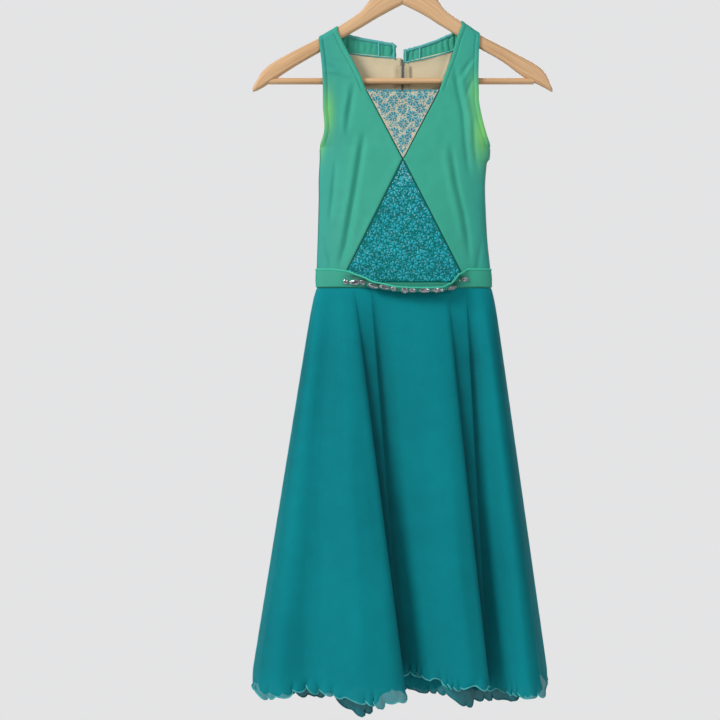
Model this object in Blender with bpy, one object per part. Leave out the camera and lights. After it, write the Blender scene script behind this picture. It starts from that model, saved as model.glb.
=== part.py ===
"""A sleeveless lyrical dance dress on a wooden hanger.

The frame is X to the wearer's left, +Y away from the viewer and +Z up, in metres. The origin is
the place where the rail bears, at the inner top of the hanger's hook, and everything hangs below
it. The tables are in millimetres. Their drop columns are heights below that place.
"""

import math

import bmesh
import bpy
from mathutils import Matrix, Vector

MM = 0.001

# Cloth and gaps
GAP = 0.3
JERSEY = 1.5
LACE = 1.3
CHIFFON = 1.2
SEAM = 0.4 * GAP + 0.05

# Hanger
ARM_HALF_THICK = 6.0
BAR_RADIUS = 4.75
BAR_DROP = 210.5
BAR_LEFT_END = -199.0
BAR_RIGHT_END = 194.0
HOOK_WIRE_RADIUS = 1.75
HOOK_INNER_RADIUS = 20.0
SHANK_FOOT_DROP = 58.9

# Levels of the dress
SHOULDER_RADIUS = ARM_HALF_THICK + GAP + 1.25 * JERSEY
NECK_DROP = 224.0
UNDERARM_DROP = 309.0
ARMHOLE_CLOSING = 3
APEX_DROP = 327.1
BODICE_FOOT_DROP = 508.8
WAIST_SEAM_DROP = 517.0
BELT_TOP_DROP = 489.5
BELT_FOOT_DROP = 515.5

# Upper and lower edge of each hanger arm, from the tip to the middle: x, top drop, bottom drop
LEFT_ARM = (
    (-222.0, 221.0, 226.0),
    (-217.0, 211.0, 225.0),
    (-206.7, 195.0, 219.8),
    (-190.5, 182.0, 209.0),
    (-159.4, 165.0, 188.8),
    (-124.0, 147.0, 168.4),
    (-96.5, 131.0, 151.5),
    (-64.0, 109.0, 132.8),
    (-48.8, 90.3, 123.6),
    (-36.9, 77.0, 116.6),
    (-18.8, 63.6, 106.6),
    (-GAP / 2, 59.2, 97.0),
)
RIGHT_ARM = (
    (221.5, 222.0, 226.5),
    (218.7, 215.5, 225.5),
    (212.0, 200.5, 221.5),
    (200.2, 188.0, 215.5),
    (176.6, 174.6, 203.0),
    (147.0, 159.0, 181.0),
    (113.8, 141.6, 162.5),
    (87.3, 123.0, 147.5),
    (62.6, 105.0, 132.0),
    (52.0, 90.3, 125.8),
    (37.0, 77.0, 116.0),
    (18.8, 63.6, 106.0),
    (GAP / 2, 59.2, 97.0),
)

# How deep the body of the dress is at each level: drop, half depth
BODY_DEPTH = (
    (120.0, SHOULDER_RADIUS),
    (160.0, SHOULDER_RADIUS + 0.4),
    (225.0, 11.0),
    (309.0, 15.0),
    (400.0, 17.5),
    (489.0, 16.5),
    (520.0, 16.5),
)
# Where the side seams lie: drop, left x, right x
SIDE_SEAMS = (
    (120.0, -123.0, 129.2),
    (309.0, -122.4, 129.2),
    (327.0, -122.4, 124.8),
    (357.0, -123.9, 121.8),
    (386.0, -123.9, 121.8),
    (445.5, -125.4, 124.8),
    (489.0, -126.8, 129.2),
    (520.0, -126.8, 130.5),
)

# Front panels, a row for each section: outer x, outer drop, inner x, inner drop. The first row is
# at the middle of the arm's round upper edge, and the strap goes over it from there.
FRONT_LEFT = (
    (-124.0, 153.0, -96.5, 137.0),
    (-121.8, 169.0, -86.0, 159.0),
    (-119.5, 190.0, -72.5, 184.0),
    (-118.4, 209.0, -61.5, 206.0),
    (-118.0, 227.0, -54.8, 223.5),
    (-117.7, 251.6, -45.0, 242.0),
    (-115.7, 277.6, -30.3, 270.0),
    (-117.5, 292.0, -20.5, 288.7),
    (-121.4, 303.4, -14.6, 300.0),
    (-122.4, 311.0, -8.0, 312.4),
    (-122.4, APEX_DROP, -0.2, APEX_DROP),
    (-123.9, 357.0, -15.2, 357.0),
    (-123.9, 386.3, -30.0, 386.3),
    (-124.6, 415.0, -44.4, 415.0),
    (-125.4, 445.5, -59.7, 445.5),
    (-126.5, 478.0, -76.0, 478.0),
    (-126.8, BODICE_FOOT_DROP, -91.4, BODICE_FOOT_DROP),
)
FRONT_RIGHT = (
    (113.8, 147.6, 87.3, 129.0),
    (112.6, 160.0, 79.0, 149.0),
    (111.9, 180.0, 72.0, 175.0),
    (111.4, 206.0, 61.0, 205.0),
    (111.9, 227.0, 53.9, 225.0),
    (112.3, 243.0, 45.2, 241.5),
    (117.4, 269.4, 30.5, 269.4),
    (123.5, 291.0, 19.2, 290.8),
    (129.2, 309.3, 9.4, 309.3),
    (124.8, APEX_DROP, 0.2, APEX_DROP),
    (121.8, 357.0, 15.4, 357.0),
    (121.8, 386.3, 30.5, 386.3),
    (123.3, 415.0, 45.1, 415.0),
    (124.8, 445.5, 60.8, 445.5),
    (127.9, 478.0, 77.5, 478.0),
    (130.2, BODICE_FOOT_DROP, 93.5, BODICE_FOOT_DROP),
)

# Back panels, in the same columns: the inner edge runs down the neck, the mesh yoke and the zip
ZIP_EDGE = 1.5
BACK_LEFT = (
    (-124.0, 153.0, -96.5, 137.0),
    (-121.8, 169.0, -89.0, 149.0),
    (-119.5, 190.0, -86.8, 168.5),
    (-118.4, 209.0, -80.0, 185.0),
    (-118.0, 227.0, -72.0, 204.0),
    (-117.7, 251.6, -60.0, 230.0),
    (-115.7, 277.6, -44.0, 262.0),
    (-117.5, 292.0, -34.0, 281.0),
    (-121.4, 303.4, -26.0, 296.0),
    (-122.4, 311.0, -18.0, 311.0),
    (-122.4, APEX_DROP, -9.0, 327.0),
    (-123.0, 341.0, -ZIP_EDGE, 341.0),
    (-123.9, 386.3, -ZIP_EDGE, 386.3),
    (-125.4, 445.5, -ZIP_EDGE, 445.5),
    (-126.8, BODICE_FOOT_DROP, -ZIP_EDGE, BODICE_FOOT_DROP),
)
BACK_RIGHT = (
    (113.8, 147.6, 87.3, 129.0),
    (112.6, 160.0, 76.5, 141.0),
    (111.9, 180.0, 72.3, 166.0),
    (111.4, 206.0, 66.0, 184.0),
    (111.9, 227.0, 59.0, 204.0),
    (112.3, 243.0, 51.0, 226.0),
    (117.4, 269.4, 37.0, 262.0),
    (123.5, 291.0, 27.0, 284.0),
    (129.2, 309.3, 16.0, 307.0),
    (124.8, APEX_DROP, 8.0, 327.0),
    (122.8, 341.0, ZIP_EDGE, 341.0),
    (121.8, 386.3, ZIP_EDGE, 386.3),
    (124.8, 445.5, ZIP_EDGE, 445.5),
    (130.2, BODICE_FOOT_DROP, ZIP_EDGE, BODICE_FOOT_DROP),
)
YOKE_ROWS = slice(2, -4)
YOKE_TOP_STEP = 2.0
YOKE_GAP = 0.6

# Lace insets: drop, left x, right x. The neck edge of the upper one dips in the middle.
LACE_UPPER = ((225.0, -53.6, 53.3), (325.0, -1.0, 1.0))
LACE_LOWER = ((329.0, -0.8, 0.8), (BODICE_FOOT_DROP, -91.0, 93.1))
NECK_DIP = 3.0

# Neck band halves: x, upper drop, lower drop, along the band from the strap to the zip
BAND_LEFT = ((-86.0, 141.0, 168.0), (-60.0, 147.0, 170.5), (-36.0, 151.0, 173.0), (-9.9, 155.4, 176.0))
BAND_RIGHT = ((71.4, 140.0, 165.5), (50.0, 150.0, 171.5), (26.0, 158.0, 177.5), (1.9, 164.0, 182.0))
BAND_GATHERS = 5
GATHER_HEIGHT = 0.9

# Belt: how far its upper edge has sagged at each x, from 0, flat, to 1
BELT_SAG = (
    (-107.0, 0.0),
    (-81.0, 0.12),
    (-65.0, 0.34),
    (-39.5, 0.73),
    (-8.0, 0.96),
    (12.0, 1.0),
    (34.5, 1.0),
    (55.0, 0.98),
    (69.4, 0.77),
    (83.0, 0.27),
    (97.0, 0.0),
)
# Its section where it has sagged, from its seam to its upper edge: way out from the body, drop
SAGGED_BELT = ((0.0, 517.6), (6.0, 521.5), (12.5, 524.0), (18.5, 522.5), (21.5, 517.8))

# Stones on the belt: x, place up the belt, half length, half height, tilt in degrees
STONES = (
    (-83.9, 0.36, 3.6, 3.4, 0.0),
    (-70.6, 0.46, 7.4, 3.3, -24.0),
    (-59.5, 0.60, 4.0, 3.2, -20.0),
    (-44.0, 0.72, 7.4, 3.2, -6.0),
    (-27.7, 0.80, 6.6, 3.2, 0.0),
    (-14.4, 0.82, 3.6, 3.2, 0.0),
    (1.9, 0.80, 4.6, 4.2, 0.0),
    (13.2, 0.82, 4.4, 3.0, 0.0),
    (31.0, 0.82, 7.0, 3.2, 0.0),
    (47.8, 0.82, 4.6, 3.4, 0.0),
    (55.2, 0.80, 2.6, 2.6, 0.0),
    (70.7, 0.62, 6.6, 3.2, 20.0),
    (91.0, 0.52, 4.4, 2.9, 22.0),
)
STONE_HALF_DEPTH = 1.6

# Skirt folds, from the left side seam to the right: waist x, hem x, hem depth, hem drop. A depth
# below 0 is towards the viewer. A fold edge that passes the next row's x lies over it.
OUTER_FRONT = (
    (-126.8, -224.0, 0.0, 1098.0),
    (-125.5, -216.0, -26.0, 1106.0),
    (-119.0, -190.0, -48.0, 1113.0),
    (-104.0, -140.0, -46.0, 1101.0),
    (-90.0, -72.0, -70.0, 1112.0),
    (-80.0, -14.0, -68.0, 1119.0),
    (-75.0, 4.0, -57.0, 1106.0),
    (-71.0, -12.0, -46.0, 1100.0),
    (-60.0, -13.0, -38.0, 1098.0),
    (-50.0, 0.0, -31.0, 1096.0),
    (-46.0, -12.0, -21.0, 1092.0),
    (-40.0, 8.0, -15.0, 1083.0),
    (-15.0, 42.0, -34.0, 1089.0),
    (25.0, 84.0, -58.0, 1099.0),
    (54.0, 116.0, -55.0, 1097.0),
    (62.0, 124.0, -45.0, 1094.5),
    (67.0, 107.0, -36.0, 1094.0),
    (80.0, 110.0, -29.0, 1096.0),
    (90.0, 126.0, -23.0, 1100.0),
    (94.0, 112.0, -14.0, 1102.0),
    (99.0, 130.0, -12.0, 1104.0),
    (106.0, 156.0, -28.0, 1110.0),
    (115.0, 184.0, -40.0, 1111.5),
    (126.0, 207.0, -24.0, 1111.0),
    (130.5, 213.5, 0.0, 1106.0),
)
OUTER_BACK = (
    (-126.8, -224.0, 0.0, 1098.0),
    (-124.0, -212.0, 22.0, 1102.0),
    (-112.0, -180.0, 40.0, 1106.0),
    (-92.0, -136.0, 22.0, 1100.0),
    (-72.0, -112.0, 16.0, 1098.0),
    (-52.0, -76.0, 44.0, 1106.0),
    (-30.0, -38.0, 40.0, 1106.0),
    (-14.0, -16.0, 18.0, 1100.0),
    (4.0, 8.0, 18.0, 1099.0),
    (24.0, 36.0, 46.0, 1105.0),
    (46.0, 76.0, 42.0, 1106.0),
    (64.0, 100.0, 18.0, 1100.0),
    (82.0, 126.0, 17.0, 1098.0),
    (104.0, 160.0, 40.0, 1103.0),
    (122.0, 204.0, 30.0, 1094.0),
    (130.5, 218.5, 0.0, 1088.0),
)
UNDER_FRONT = (
    (-122.6, -214.0, 0.0, 1100.0),
    (-119.0, -196.0, -22.0, 1112.0),
    (-104.0, -160.0, -33.0, 1120.0),
    (-92.0, -128.0, -25.0, 1119.0),
    (-80.0, -86.0, -46.0, 1128.0),
    (-66.0, -48.0, -42.0, 1135.0),
    (-52.0, -28.0, -18.0, 1122.0),
    (-34.0, 2.0, -6.0, 1112.0),
    (-8.0, 34.0, -14.0, 1108.0),
    (24.0, 68.0, -35.0, 1112.0),
    (52.0, 94.0, -28.0, 1128.0),
    (70.0, 110.0, -7.0, 1124.0),
    (92.0, 138.0, -5.0, 1122.0),
    (108.0, 170.0, -22.0, 1116.0),
    (122.0, 196.0, -14.0, 1112.0),
    (126.2, 204.0, 0.0, 1106.0),
)
UNDER_BACK = (
    (-122.6, -214.0, 0.0, 1100.0),
    (-116.0, -192.0, 18.0, 1108.0),
    (-100.0, -158.0, 20.0, 1112.0),
    (-76.0, -114.0, 9.0, 1110.0),
    (-54.0, -78.0, 30.0, 1114.0),
    (-36.0, -50.0, 24.0, 1112.0),
    (-14.0, -18.0, 8.5, 1110.0),
    (6.0, 8.0, 9.0, 1110.0),
    (28.0, 44.0, 30.0, 1113.0),
    (48.0, 74.0, 26.0, 1112.0),
    (74.0, 112.0, 9.0, 1110.0),
    (104.0, 158.0, 24.0, 1110.0),
    (122.0, 192.0, 16.0, 1106.0),
    (126.2, 204.0, 0.0, 1104.0),
)
SKIRT_LEVELS = (0.0, 0.03, 0.17, 0.42, 0.7, 0.955, 1.0)
COLUMN_WIDTH = 10.0
FLARE = 0.035
FLARE_HEIGHT = 0.03
FOLD_DEEPENING = 0.75
RUFFLE_LENGTH = 40.0
RUFFLE_HEIGHT = 2.2
RUFFLE_START = 0.93
UNDER_INSET = CHIFFON + GAP

# Zip
ZIP_TAPE_HALF_WIDTH = 11.0
ZIP_TAPE_THICK = 1.0
ZIP_TOP_DROP = 186.0
SLIDER_DROP = 190.0
SLIDER_HALF_WIDTH = 3.0
SLIDER_HALF_HEIGHT = 4.5
SLIDER_THICK = 1.2
BRIDGE_HALF_WIDTH = 0.8
BRIDGE_HALF_HEIGHT = 3.5
BRIDGE_REACH = 4.3
BRIDGE_BAR = 1.0
HINGE_OUT = 2.7
TAB_HALF_WIDTH = 2.6
TAB_HALF_THICK = 0.5
TAB_LENGTH = 21.0
TAB_EYE_HALF_WIDTH = 1.5
TAB_EYE_LENGTH = 5.5
TAB_TOP_BAR = 0.4

# Materials: base colour, roughness, metallic
MATERIALS = {
    "green_jersey": ((0.058, 0.40, 0.29, 1.0), 0.45, 0.0),
    "lace_on_nude": ((0.34, 0.42, 0.36, 1.0), 0.8, 0.0),
    "sequined_lace": ((0.017, 0.22, 0.25, 1.0), 0.5, 0.0),
    "nude_mesh": ((0.47, 0.39, 0.26, 1.0), 0.85, 0.0),
    "teal_chiffon": ((0.006, 0.17, 0.19, 1.0), 0.75, 0.0),
    "cut_stone": ((0.62, 0.70, 0.78, 1.0), 0.08, 0.6),
    "zip_tape": ((0.03, 0.25, 0.19, 1.0), 0.85, 0.0),
    "zip_metal": ((0.10, 0.30, 0.25, 1.0), 0.35, 0.8),
    "pale_wood": ((0.60, 0.40, 0.23, 1.0), 0.5, 0.0),
    "steel_wire": ((0.62, 0.62, 0.62, 1.0), 0.25, 1.0),
}


def clear_scene():
    for thing in list(bpy.data.objects):
        bpy.data.objects.remove(thing, do_unlink=True)


def material(name):
    """The named Principled material, made at its first use."""
    found = bpy.data.materials.get(name)
    if found:
        return found
    colour, roughness, metallic = MATERIALS[name]
    made = bpy.data.materials.new(name)
    made.use_nodes = True
    made.diffuse_color = colour
    shader = made.node_tree.nodes["Principled BSDF"]
    shader.inputs["Base Color"].default_value = colour
    shader.inputs["Roughness"].default_value = roughness
    shader.inputs["Metallic"].default_value = metallic
    return made


def read(table, at, column=1):
    """A column of a table, between the two rows around the value of its first column."""
    if at <= table[0][0]:
        return table[0][column]
    for low, high in zip(table, table[1:]):
        if at <= high[0]:
            share = (at - low[0]) / (high[0] - low[0])
            return low[column] + (high[column] - low[column]) * share
    return table[-1][column]


def point(x, depth, drop):
    """A place in millimetres, with its drop below the hook, as metres in the frame."""
    return Vector((x * MM, depth * MM, -drop * MM))


def add_object(name, bm, finish, smooth=True):
    """One named object from a bmesh, with its faces out and its material."""
    bmesh.ops.recalc_face_normals(bm, faces=bm.faces)
    mesh = bpy.data.meshes.new(name)
    bm.to_mesh(mesh)
    bm.free()
    if smooth:
        mesh.shade_smooth()
        mesh.set_sharp_from_angle(angle=math.radians(50))
    mesh.materials.append(material(finish))
    made = bpy.data.objects.new(name, mesh)
    bpy.context.scene.collection.objects.link(made)
    return made


def grid_normals(rows):
    """The unit normal at each point of a grid, from its neighbours along and across."""
    normals = []
    last_row, last_column = len(rows) - 1, len(rows[0]) - 1
    for r in range(len(rows)):
        line = []
        for c in range(len(rows[0])):
            down = rows[min(r + 1, last_row)][c] - rows[max(r - 1, 0)][c]
            along = rows[r][min(c + 1, last_column)] - rows[r][max(c - 1, 0)]
            line.append(along.cross(down).normalized())
        normals.append(line)
    return normals


def inner_place(place, normal, thickness, way):
    """The wall's inner point. A front or back wall stays on its own side of the side seams."""
    inner = place + normal * thickness * MM
    if way:
        inner.y = way * max(way * inner.y, SEAM * MM)
    return inner


def cloth(name, rows, thickness, finish, way=0):
    """A closed wall under a grid of outer points. Seen from outside, rows run down, columns right.

    Way is -1 for a front wall and 1 for a back wall, which must meet without overlapping.
    """
    normals = grid_normals(rows)
    bm = bmesh.new()
    outer = [[bm.verts.new(place) for place in row] for row in rows]
    inner = [
        [bm.verts.new(inner_place(place, normal, thickness, way)) for place, normal in zip(row, line)]
        for row, line in zip(rows, normals)
    ]
    for r in range(len(rows) - 1):
        for c in range(len(rows[0]) - 1):
            corners = ((r, c), (r, c + 1), (r + 1, c + 1), (r + 1, c))
            bm.faces.new([outer[i][j] for i, j in corners])
            bm.faces.new([inner[i][j] for i, j in reversed(corners)])
    last_row, last_column = len(rows) - 1, len(rows[0]) - 1
    rim = [(0, c) for c in range(last_column)]
    rim += [(r, last_column) for r in range(last_row)]
    rim += [(last_row, c) for c in range(last_column, 0, -1)]
    rim += [(r, 0) for r in range(last_row, 0, -1)]
    for here, there in zip(rim, rim[1:] + rim[:1]):
        here_out, here_in = outer[here[0]][here[1]], inner[here[0]][here[1]]
        there_out, there_in = outer[there[0]][there[1]], inner[there[0]][there[1]]
        bm.faces.new((here_out, here_in, there_in, there_out))
    return add_object(name, bm, finish)


def body_depth(x, drop):
    """Half the depth of the flattened bodice at a place: it closes to nothing at the side seams."""
    side = read(SIDE_SEAMS, drop, 1 if x < 0 else 2)
    share = min(abs(x / side), 1.0)
    closing = min(max((drop - NECK_DROP) / (UNDERARM_DROP - NECK_DROP), 0.0), 1.0)
    return read(BODY_DEPTH, drop) * max(1.0 - closing**ARMHOLE_CLOSING * share**3, 0.0) ** (1 / 3)


def body_point(x, drop, way, out=0.0):
    """A place on the bodice's outer face. Way is -1 at the front and 1 at the back."""
    return point(x, way * max(body_depth(x, drop) + out, SEAM), drop)


def panel_rows(table, way, columns, seam_side):
    """Rows of a side panel: over the arm's round edge first, then down the body.

    Columns lie close together at the side seam, where the body turns to the other face.
    """
    rows = []
    outer_x, outer_drop, inner_x, inner_drop = table[0]
    spread = [(c / columns) ** 2 * 0.5 + (c / columns) * 0.5 for c in range(columns + 1)]
    for step in range(4, 0, -1):
        angle = math.radians(88) * step / 4
        line = []
        for share in spread:
            x = outer_x + (inner_x - outer_x) * share
            drop = outer_drop + (inner_drop - outer_drop) * share
            out = SHOULDER_RADIUS * math.cos(angle)
            line.append(point(x, way * out, drop - SHOULDER_RADIUS * math.sin(angle)))
        rows.append(line)
    for outer_x, outer_drop, inner_x, inner_drop in table:
        line = []
        for share in spread:
            x = outer_x + (inner_x - outer_x) * share
            drop = outer_drop + (inner_drop - outer_drop) * share
            line.append(body_point(x, drop, way))
        rows.append(line)
    if seam_side * way > 0:
        return [row[::-1] for row in rows]
    return rows


def panel(name, table, way, side, columns=10):
    """A side panel and its strap. Side is -1 at the left of the photo and 1 at the right."""
    rows = panel_rows(table, way, columns, -side)
    return cloth(name, rows, JERSEY, "green_jersey", way)


def inset_rows(table, way, count, columns, dip=0.0):
    """Rows of an inset between two straight seams, with its upper edge dipping in the middle."""
    (top, left_top, right_top), (foot, left_foot, right_foot) = table
    rows = []
    for r in range(count + 1):
        fall = r / count
        left = left_top + (left_foot - left_top) * fall
        right = right_top + (right_foot - right_top) * fall
        line = []
        for c in range(columns + 1):
            across = c / columns
            drop = top + (foot - top) * fall
            drop += dip * math.sin(math.pi * across) * (1 - fall) ** 3
            line.append(body_point(left + (right - left) * across, drop, way))
        rows.append(line)
    return rows


def yoke_rows(table, side, band, columns=6):
    """Rows of a mesh yoke between a back panel's inner edge and the zip, below the neck band."""
    edge = table[YOKE_ROWS]
    band_end = band[-1]
    first = edge[0][3]
    last = edge[-1][3]
    zip_top = band_end[2] + 2 * GAP + 0.6
    rows = []
    for number, (_, _, _, drop) in enumerate(edge):
        fall = (drop - first) / (last - first)
        near_zip = zip_top + (last - zip_top) * fall
        start = drop + (YOKE_TOP_STEP if number == 0 else 0.0)
        outer = read(tuple((row[3], row[2]) for row in edge), start) - side * YOKE_GAP
        inner = side * ZIP_EDGE
        line = []
        for c in range(columns + 1):
            share = c / columns
            line.append(body_point(outer + (inner - outer) * share, start + (near_zip - start) * share, 1))
        rows.append(line)
    return [row[::-1] for row in rows] if side < 0 else rows


def band_rows(table, side, columns=20):
    """Rows of a gathered neck band half, puckered towards both ends."""
    rows = []
    for r in range(4):
        fall = r / 3
        line = []
        for c in range(columns + 1):
            share = c / columns
            x = table[0][0] + (table[-1][0] - table[0][0]) * share
            key = tuple((abs(row[0] - table[0][0]), row[1], row[2]) for row in table)
            along = abs(x - table[0][0])
            drop = read(key, along, 1) * (1 - fall) + read(key, along, 2) * fall
            pucker = abs(2 * share - 1) ** 2 * math.sin(math.pi * (1 - fall * 0.8))
            ripple = math.sin(2 * math.pi * BAND_GATHERS * share) * GATHER_HEIGHT * pucker
            line.append(body_point(x, drop, 1, max(ripple, -0.4)))
        rows.append(line)
    return [row[::-1] for row in rows] if side < 0 else rows


def waist_ring(angle, drop, out):
    """A place on the flattened waist, and the way out there. Angle 0 is the right side seam."""
    right = read(SIDE_SEAMS, drop, 2)
    left = -read(SIDE_SEAMS, drop, 1)
    wide = right if math.cos(angle) > 0 else left
    deep = read(BODY_DEPTH, drop)
    x = wide * math.copysign(abs(math.cos(angle)) ** (2 / 3), math.cos(angle))
    depth = deep * math.copysign(abs(math.sin(angle)) ** (2 / 3), math.sin(angle))
    slope_x = math.copysign((x / wide) ** 2 / wide, x)
    slope_depth = math.copysign((depth / deep) ** 2 / deep, depth)
    size = math.hypot(slope_x, slope_depth)
    return x + out * slope_x / size, depth + out * slope_depth / size, slope_x / size, slope_depth / size


def ring_angles(columns, half_opening):
    """Angles round the waist from one side of the centre back to the other, by way of the front."""
    start = math.radians(-270) + half_opening
    return [start + c / columns * (2 * math.pi - 2 * half_opening) for c in range(columns + 1)]


def belt_place(angle, up):
    """A place on the belt's outer face. Up is 0 at its seam and 1 at its upper edge."""
    x = waist_ring(angle, BELT_FOOT_DROP, 0.0)[0]
    sag = read(BELT_SAG, x) if math.sin(angle) < 0 else 0.0
    flat_drop = BELT_FOOT_DROP + (BELT_TOP_DROP - BELT_FOOT_DROP) * up
    spot = up * (len(SAGGED_BELT) - 1)
    stations = tuple((number, *row) for number, row in enumerate(SAGGED_BELT))
    out = read(stations, spot, 1) * sag + JERSEY + GAP
    drop = flat_drop + (read(stations, spot, 2) - flat_drop) * sag
    x, depth, _, _ = waist_ring(angle, min(drop, WAIST_SEAM_DROP), out)
    return point(x, depth, drop)


def belt():
    """The green band, open at the zip."""
    angles = ring_angles(56, 0.035)
    rows = [[belt_place(angle, up) for angle in angles] for up in (1.0, 0.75, 0.5, 0.25, 0.0)]
    return cloth("belt", rows, JERSEY, "green_jersey")


def inner_waistband():
    """The band that the bodice and the skirt are sewn to."""
    angles = ring_angles(44, 0.035)
    rows = []
    for drop in (BODICE_FOOT_DROP + GAP, WAIST_SEAM_DROP):
        line = []
        for angle in angles:
            x, depth, _, _ = waist_ring(angle, drop, 0.0)
            line.append(point(x, depth, drop))
        rows.append(line)
    return cloth("inner_waistband", rows, JERSEY, "green_jersey")


def front_angle(x):
    """The angle round the waist whose place lies at this x on the front."""
    side = read(SIDE_SEAMS, BELT_FOOT_DROP, 1 if x < 0 else 2)
    share = abs(x / side) ** 1.5
    return -math.acos(math.copysign(share, x))


def stones():
    """Cut stones, each seated on the belt's outer face along its way out."""
    for number, (x, up, half_length, half_height, tilt) in enumerate(STONES, 1):
        angle = front_angle(x)
        seat = belt_place(angle, up)
        above = belt_place(angle, up + 0.06) - belt_place(angle, up - 0.06)
        along = belt_place(angle + 0.02, up) - belt_place(angle - 0.02, up)
        out = along.cross(above).normalized()
        along.normalize()
        bm = bmesh.new()
        bmesh.ops.create_cone(
            bm, cap_ends=True, segments=8, radius1=1.0, radius2=0.55, depth=2 * STONE_HALF_DEPTH * MM
        )
        size = Matrix.Diagonal((half_length * MM, half_height * MM, 1.0, 1.0))
        turn = Matrix.Rotation(math.radians(-tilt), 4, "Z")
        way = Matrix((along, out.cross(along), out)).transposed().to_4x4()
        place = Matrix.Translation(seat + out * (STONE_HALF_DEPTH + 1.3 * GAP) * MM)
        bmesh.ops.transform(bm, matrix=place @ way @ turn @ size, verts=bm.verts)
        add_object(f"stone_{number:02d}", bm, "cut_stone", smooth=False)


def smooth_between(before, start, end, after, share):
    """A value on a Catmull-Rom curve between start and end."""
    square, cube = share**2, share**3
    return 0.5 * (
        2 * start
        + (end - before) * share
        + (2 * before - 5 * start + 4 * end - after) * square
        + (3 * start - before - 3 * end + after) * cube
    )


def fold_columns(folds):
    """Fold rows read along a smooth curve, about a column's width apart at the hem."""
    columns = []
    for number in range(len(folds) - 1):
        start, end = folds[number], folds[number + 1]
        before = folds[max(number - 1, 0)]
        after = folds[min(number + 2, len(folds) - 1)]
        width = math.hypot(end[1] - start[1], end[2] - start[2])
        steps = max(2, round(width / COLUMN_WIDTH))
        for step in range(steps):
            share = step / steps
            columns.append([smooth_between(*values, share) for values in zip(before, start, end, after)])
    columns.append(list(folds[-1]))
    return columns


def skirt_rows(folds, way, inset=0.0):
    """Rows of one skirt layer from its waist seam to its ruffled hem."""
    columns = fold_columns(folds)
    run = [0.0]
    for one, two in zip(columns, columns[1:]):
        run.append(run[-1] + math.hypot(two[1] - one[1], two[2] - one[2]))
    rows = []
    for level in SKIRT_LEVELS:
        spread = level + FLARE * (1 - level) * (1 - math.exp(-level / FLARE_HEIGHT))
        deepened = spread**FOLD_DEEPENING
        ruffle = max(level - RUFFLE_START, 0.0) / (1 - RUFFLE_START)
        line = []
        for (waist_x, hem_x, hem_depth, hem_drop), length in zip(columns, run):
            side = read(SIDE_SEAMS, WAIST_SEAM_DROP, 1 if waist_x < 0 else 2)
            share = min(abs(waist_x / side), 1.0)
            deep = read(BODY_DEPTH, WAIST_SEAM_DROP) * (1 - share**3) ** (1 / 3)
            deep = max(deep - inset, SEAM)
            x = waist_x + (hem_x - waist_x) * spread
            depth = way * deep + (hem_depth - way * deep) * deepened
            wave = math.sin(2 * math.pi * length / RUFFLE_LENGTH) * ruffle
            depth += wave * RUFFLE_HEIGHT * min(1.0, abs(hem_depth) / 10)
            drop = WAIST_SEAM_DROP + GAP + (hem_drop - WAIST_SEAM_DROP) * level
            depth = way * max(way * depth, SEAM)
            line.append(point(x, depth, drop))
        rows.append(line)
    return [row[::-1] for row in rows] if way > 0 else rows


def skirt():
    """The chiffon layers, each in a front and a back that meet at the side seams."""
    for name, folds, way, inset in (
        ("skirt_outer_front", OUTER_FRONT, -1, 0.0),
        ("skirt_outer_back", OUTER_BACK, 1, 0.0),
        ("skirt_under_front", UNDER_FRONT, -1, UNDER_INSET),
        ("skirt_under_back", UNDER_BACK, 1, UNDER_INSET),
    ):
        cloth(name, skirt_rows(folds, way, inset), CHIFFON, "teal_chiffon", way)


def bodice():
    """The side panels, the lace insets, the mesh yokes and the neck band."""
    panel("front_panel_left", FRONT_LEFT, -1, -1)
    panel("front_panel_right", FRONT_RIGHT, -1, 1)
    panel("back_panel_left", BACK_LEFT, 1, -1)
    panel("back_panel_right", BACK_RIGHT, 1, 1)
    cloth("lace_inset_upper", inset_rows(LACE_UPPER, -1, 8, 8, NECK_DIP), LACE, "lace_on_nude")
    cloth("lace_inset_lower", inset_rows(LACE_LOWER, -1, 8, 8), LACE, "sequined_lace")
    for side, word, table, band in ((-1, "left", BACK_LEFT, BAND_LEFT), (1, "right", BACK_RIGHT, BAND_RIGHT)):
        cloth(f"mesh_yoke_{word}", yoke_rows(table, side, band), LACE, "nude_mesh")
        cloth(f"neck_band_{word}", band_rows(band, side), JERSEY, "green_jersey")


def add_box(bm, low, high):
    """Adds a box between two corners, in millimetres."""
    middle = [(a + b) / 2 * MM for a, b in zip(low, high)]
    size = [(b - a) * MM for a, b in zip(low, high)]
    matrix = Matrix.Translation(middle) @ Matrix.Diagonal((*size, 1.0))
    bmesh.ops.create_cube(bm, size=1.0, matrix=matrix)


def add_frame(bm, outline, hole, low, high, across):
    """Adds a plate with a rectangular hole. Across is the axis, 0 or 1, that the hole runs along."""
    loops = []
    for level in (low, high):
        for (a0, b0), (a1, b1) in (outline, hole):
            corners = ((a0, b0), (a1, b0), (a1, b1), (a0, b1))
            places = [(level, a, b) if across == 0 else (a, level, b) for a, b in corners]
            loops.append([bm.verts.new(Vector(place) * MM) for place in places])
    outer_low, inner_low, outer_high, inner_high = loops
    for i in range(4):
        j = (i + 1) % 4
        bm.faces.new((outer_low[i], outer_low[j], inner_low[j], inner_low[i]))
        bm.faces.new((outer_high[j], outer_high[i], inner_high[i], inner_high[j]))
        bm.faces.new((outer_low[j], outer_low[i], outer_high[i], outer_high[j]))
        bm.faces.new((inner_low[i], inner_low[j], inner_high[j], inner_high[i]))


def zip_face():
    """How far back the back panels' outer face lies at the zip's slider."""
    return read(BODY_DEPTH, SLIDER_DROP)


def join(made, other):
    """A Boolean union of a hidden helper into an object."""
    union = made.modifiers.new("union", "BOOLEAN")
    union.operation = "UNION"
    union.object = other
    other.hide_render = True
    other.display_type = "WIRE"


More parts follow.
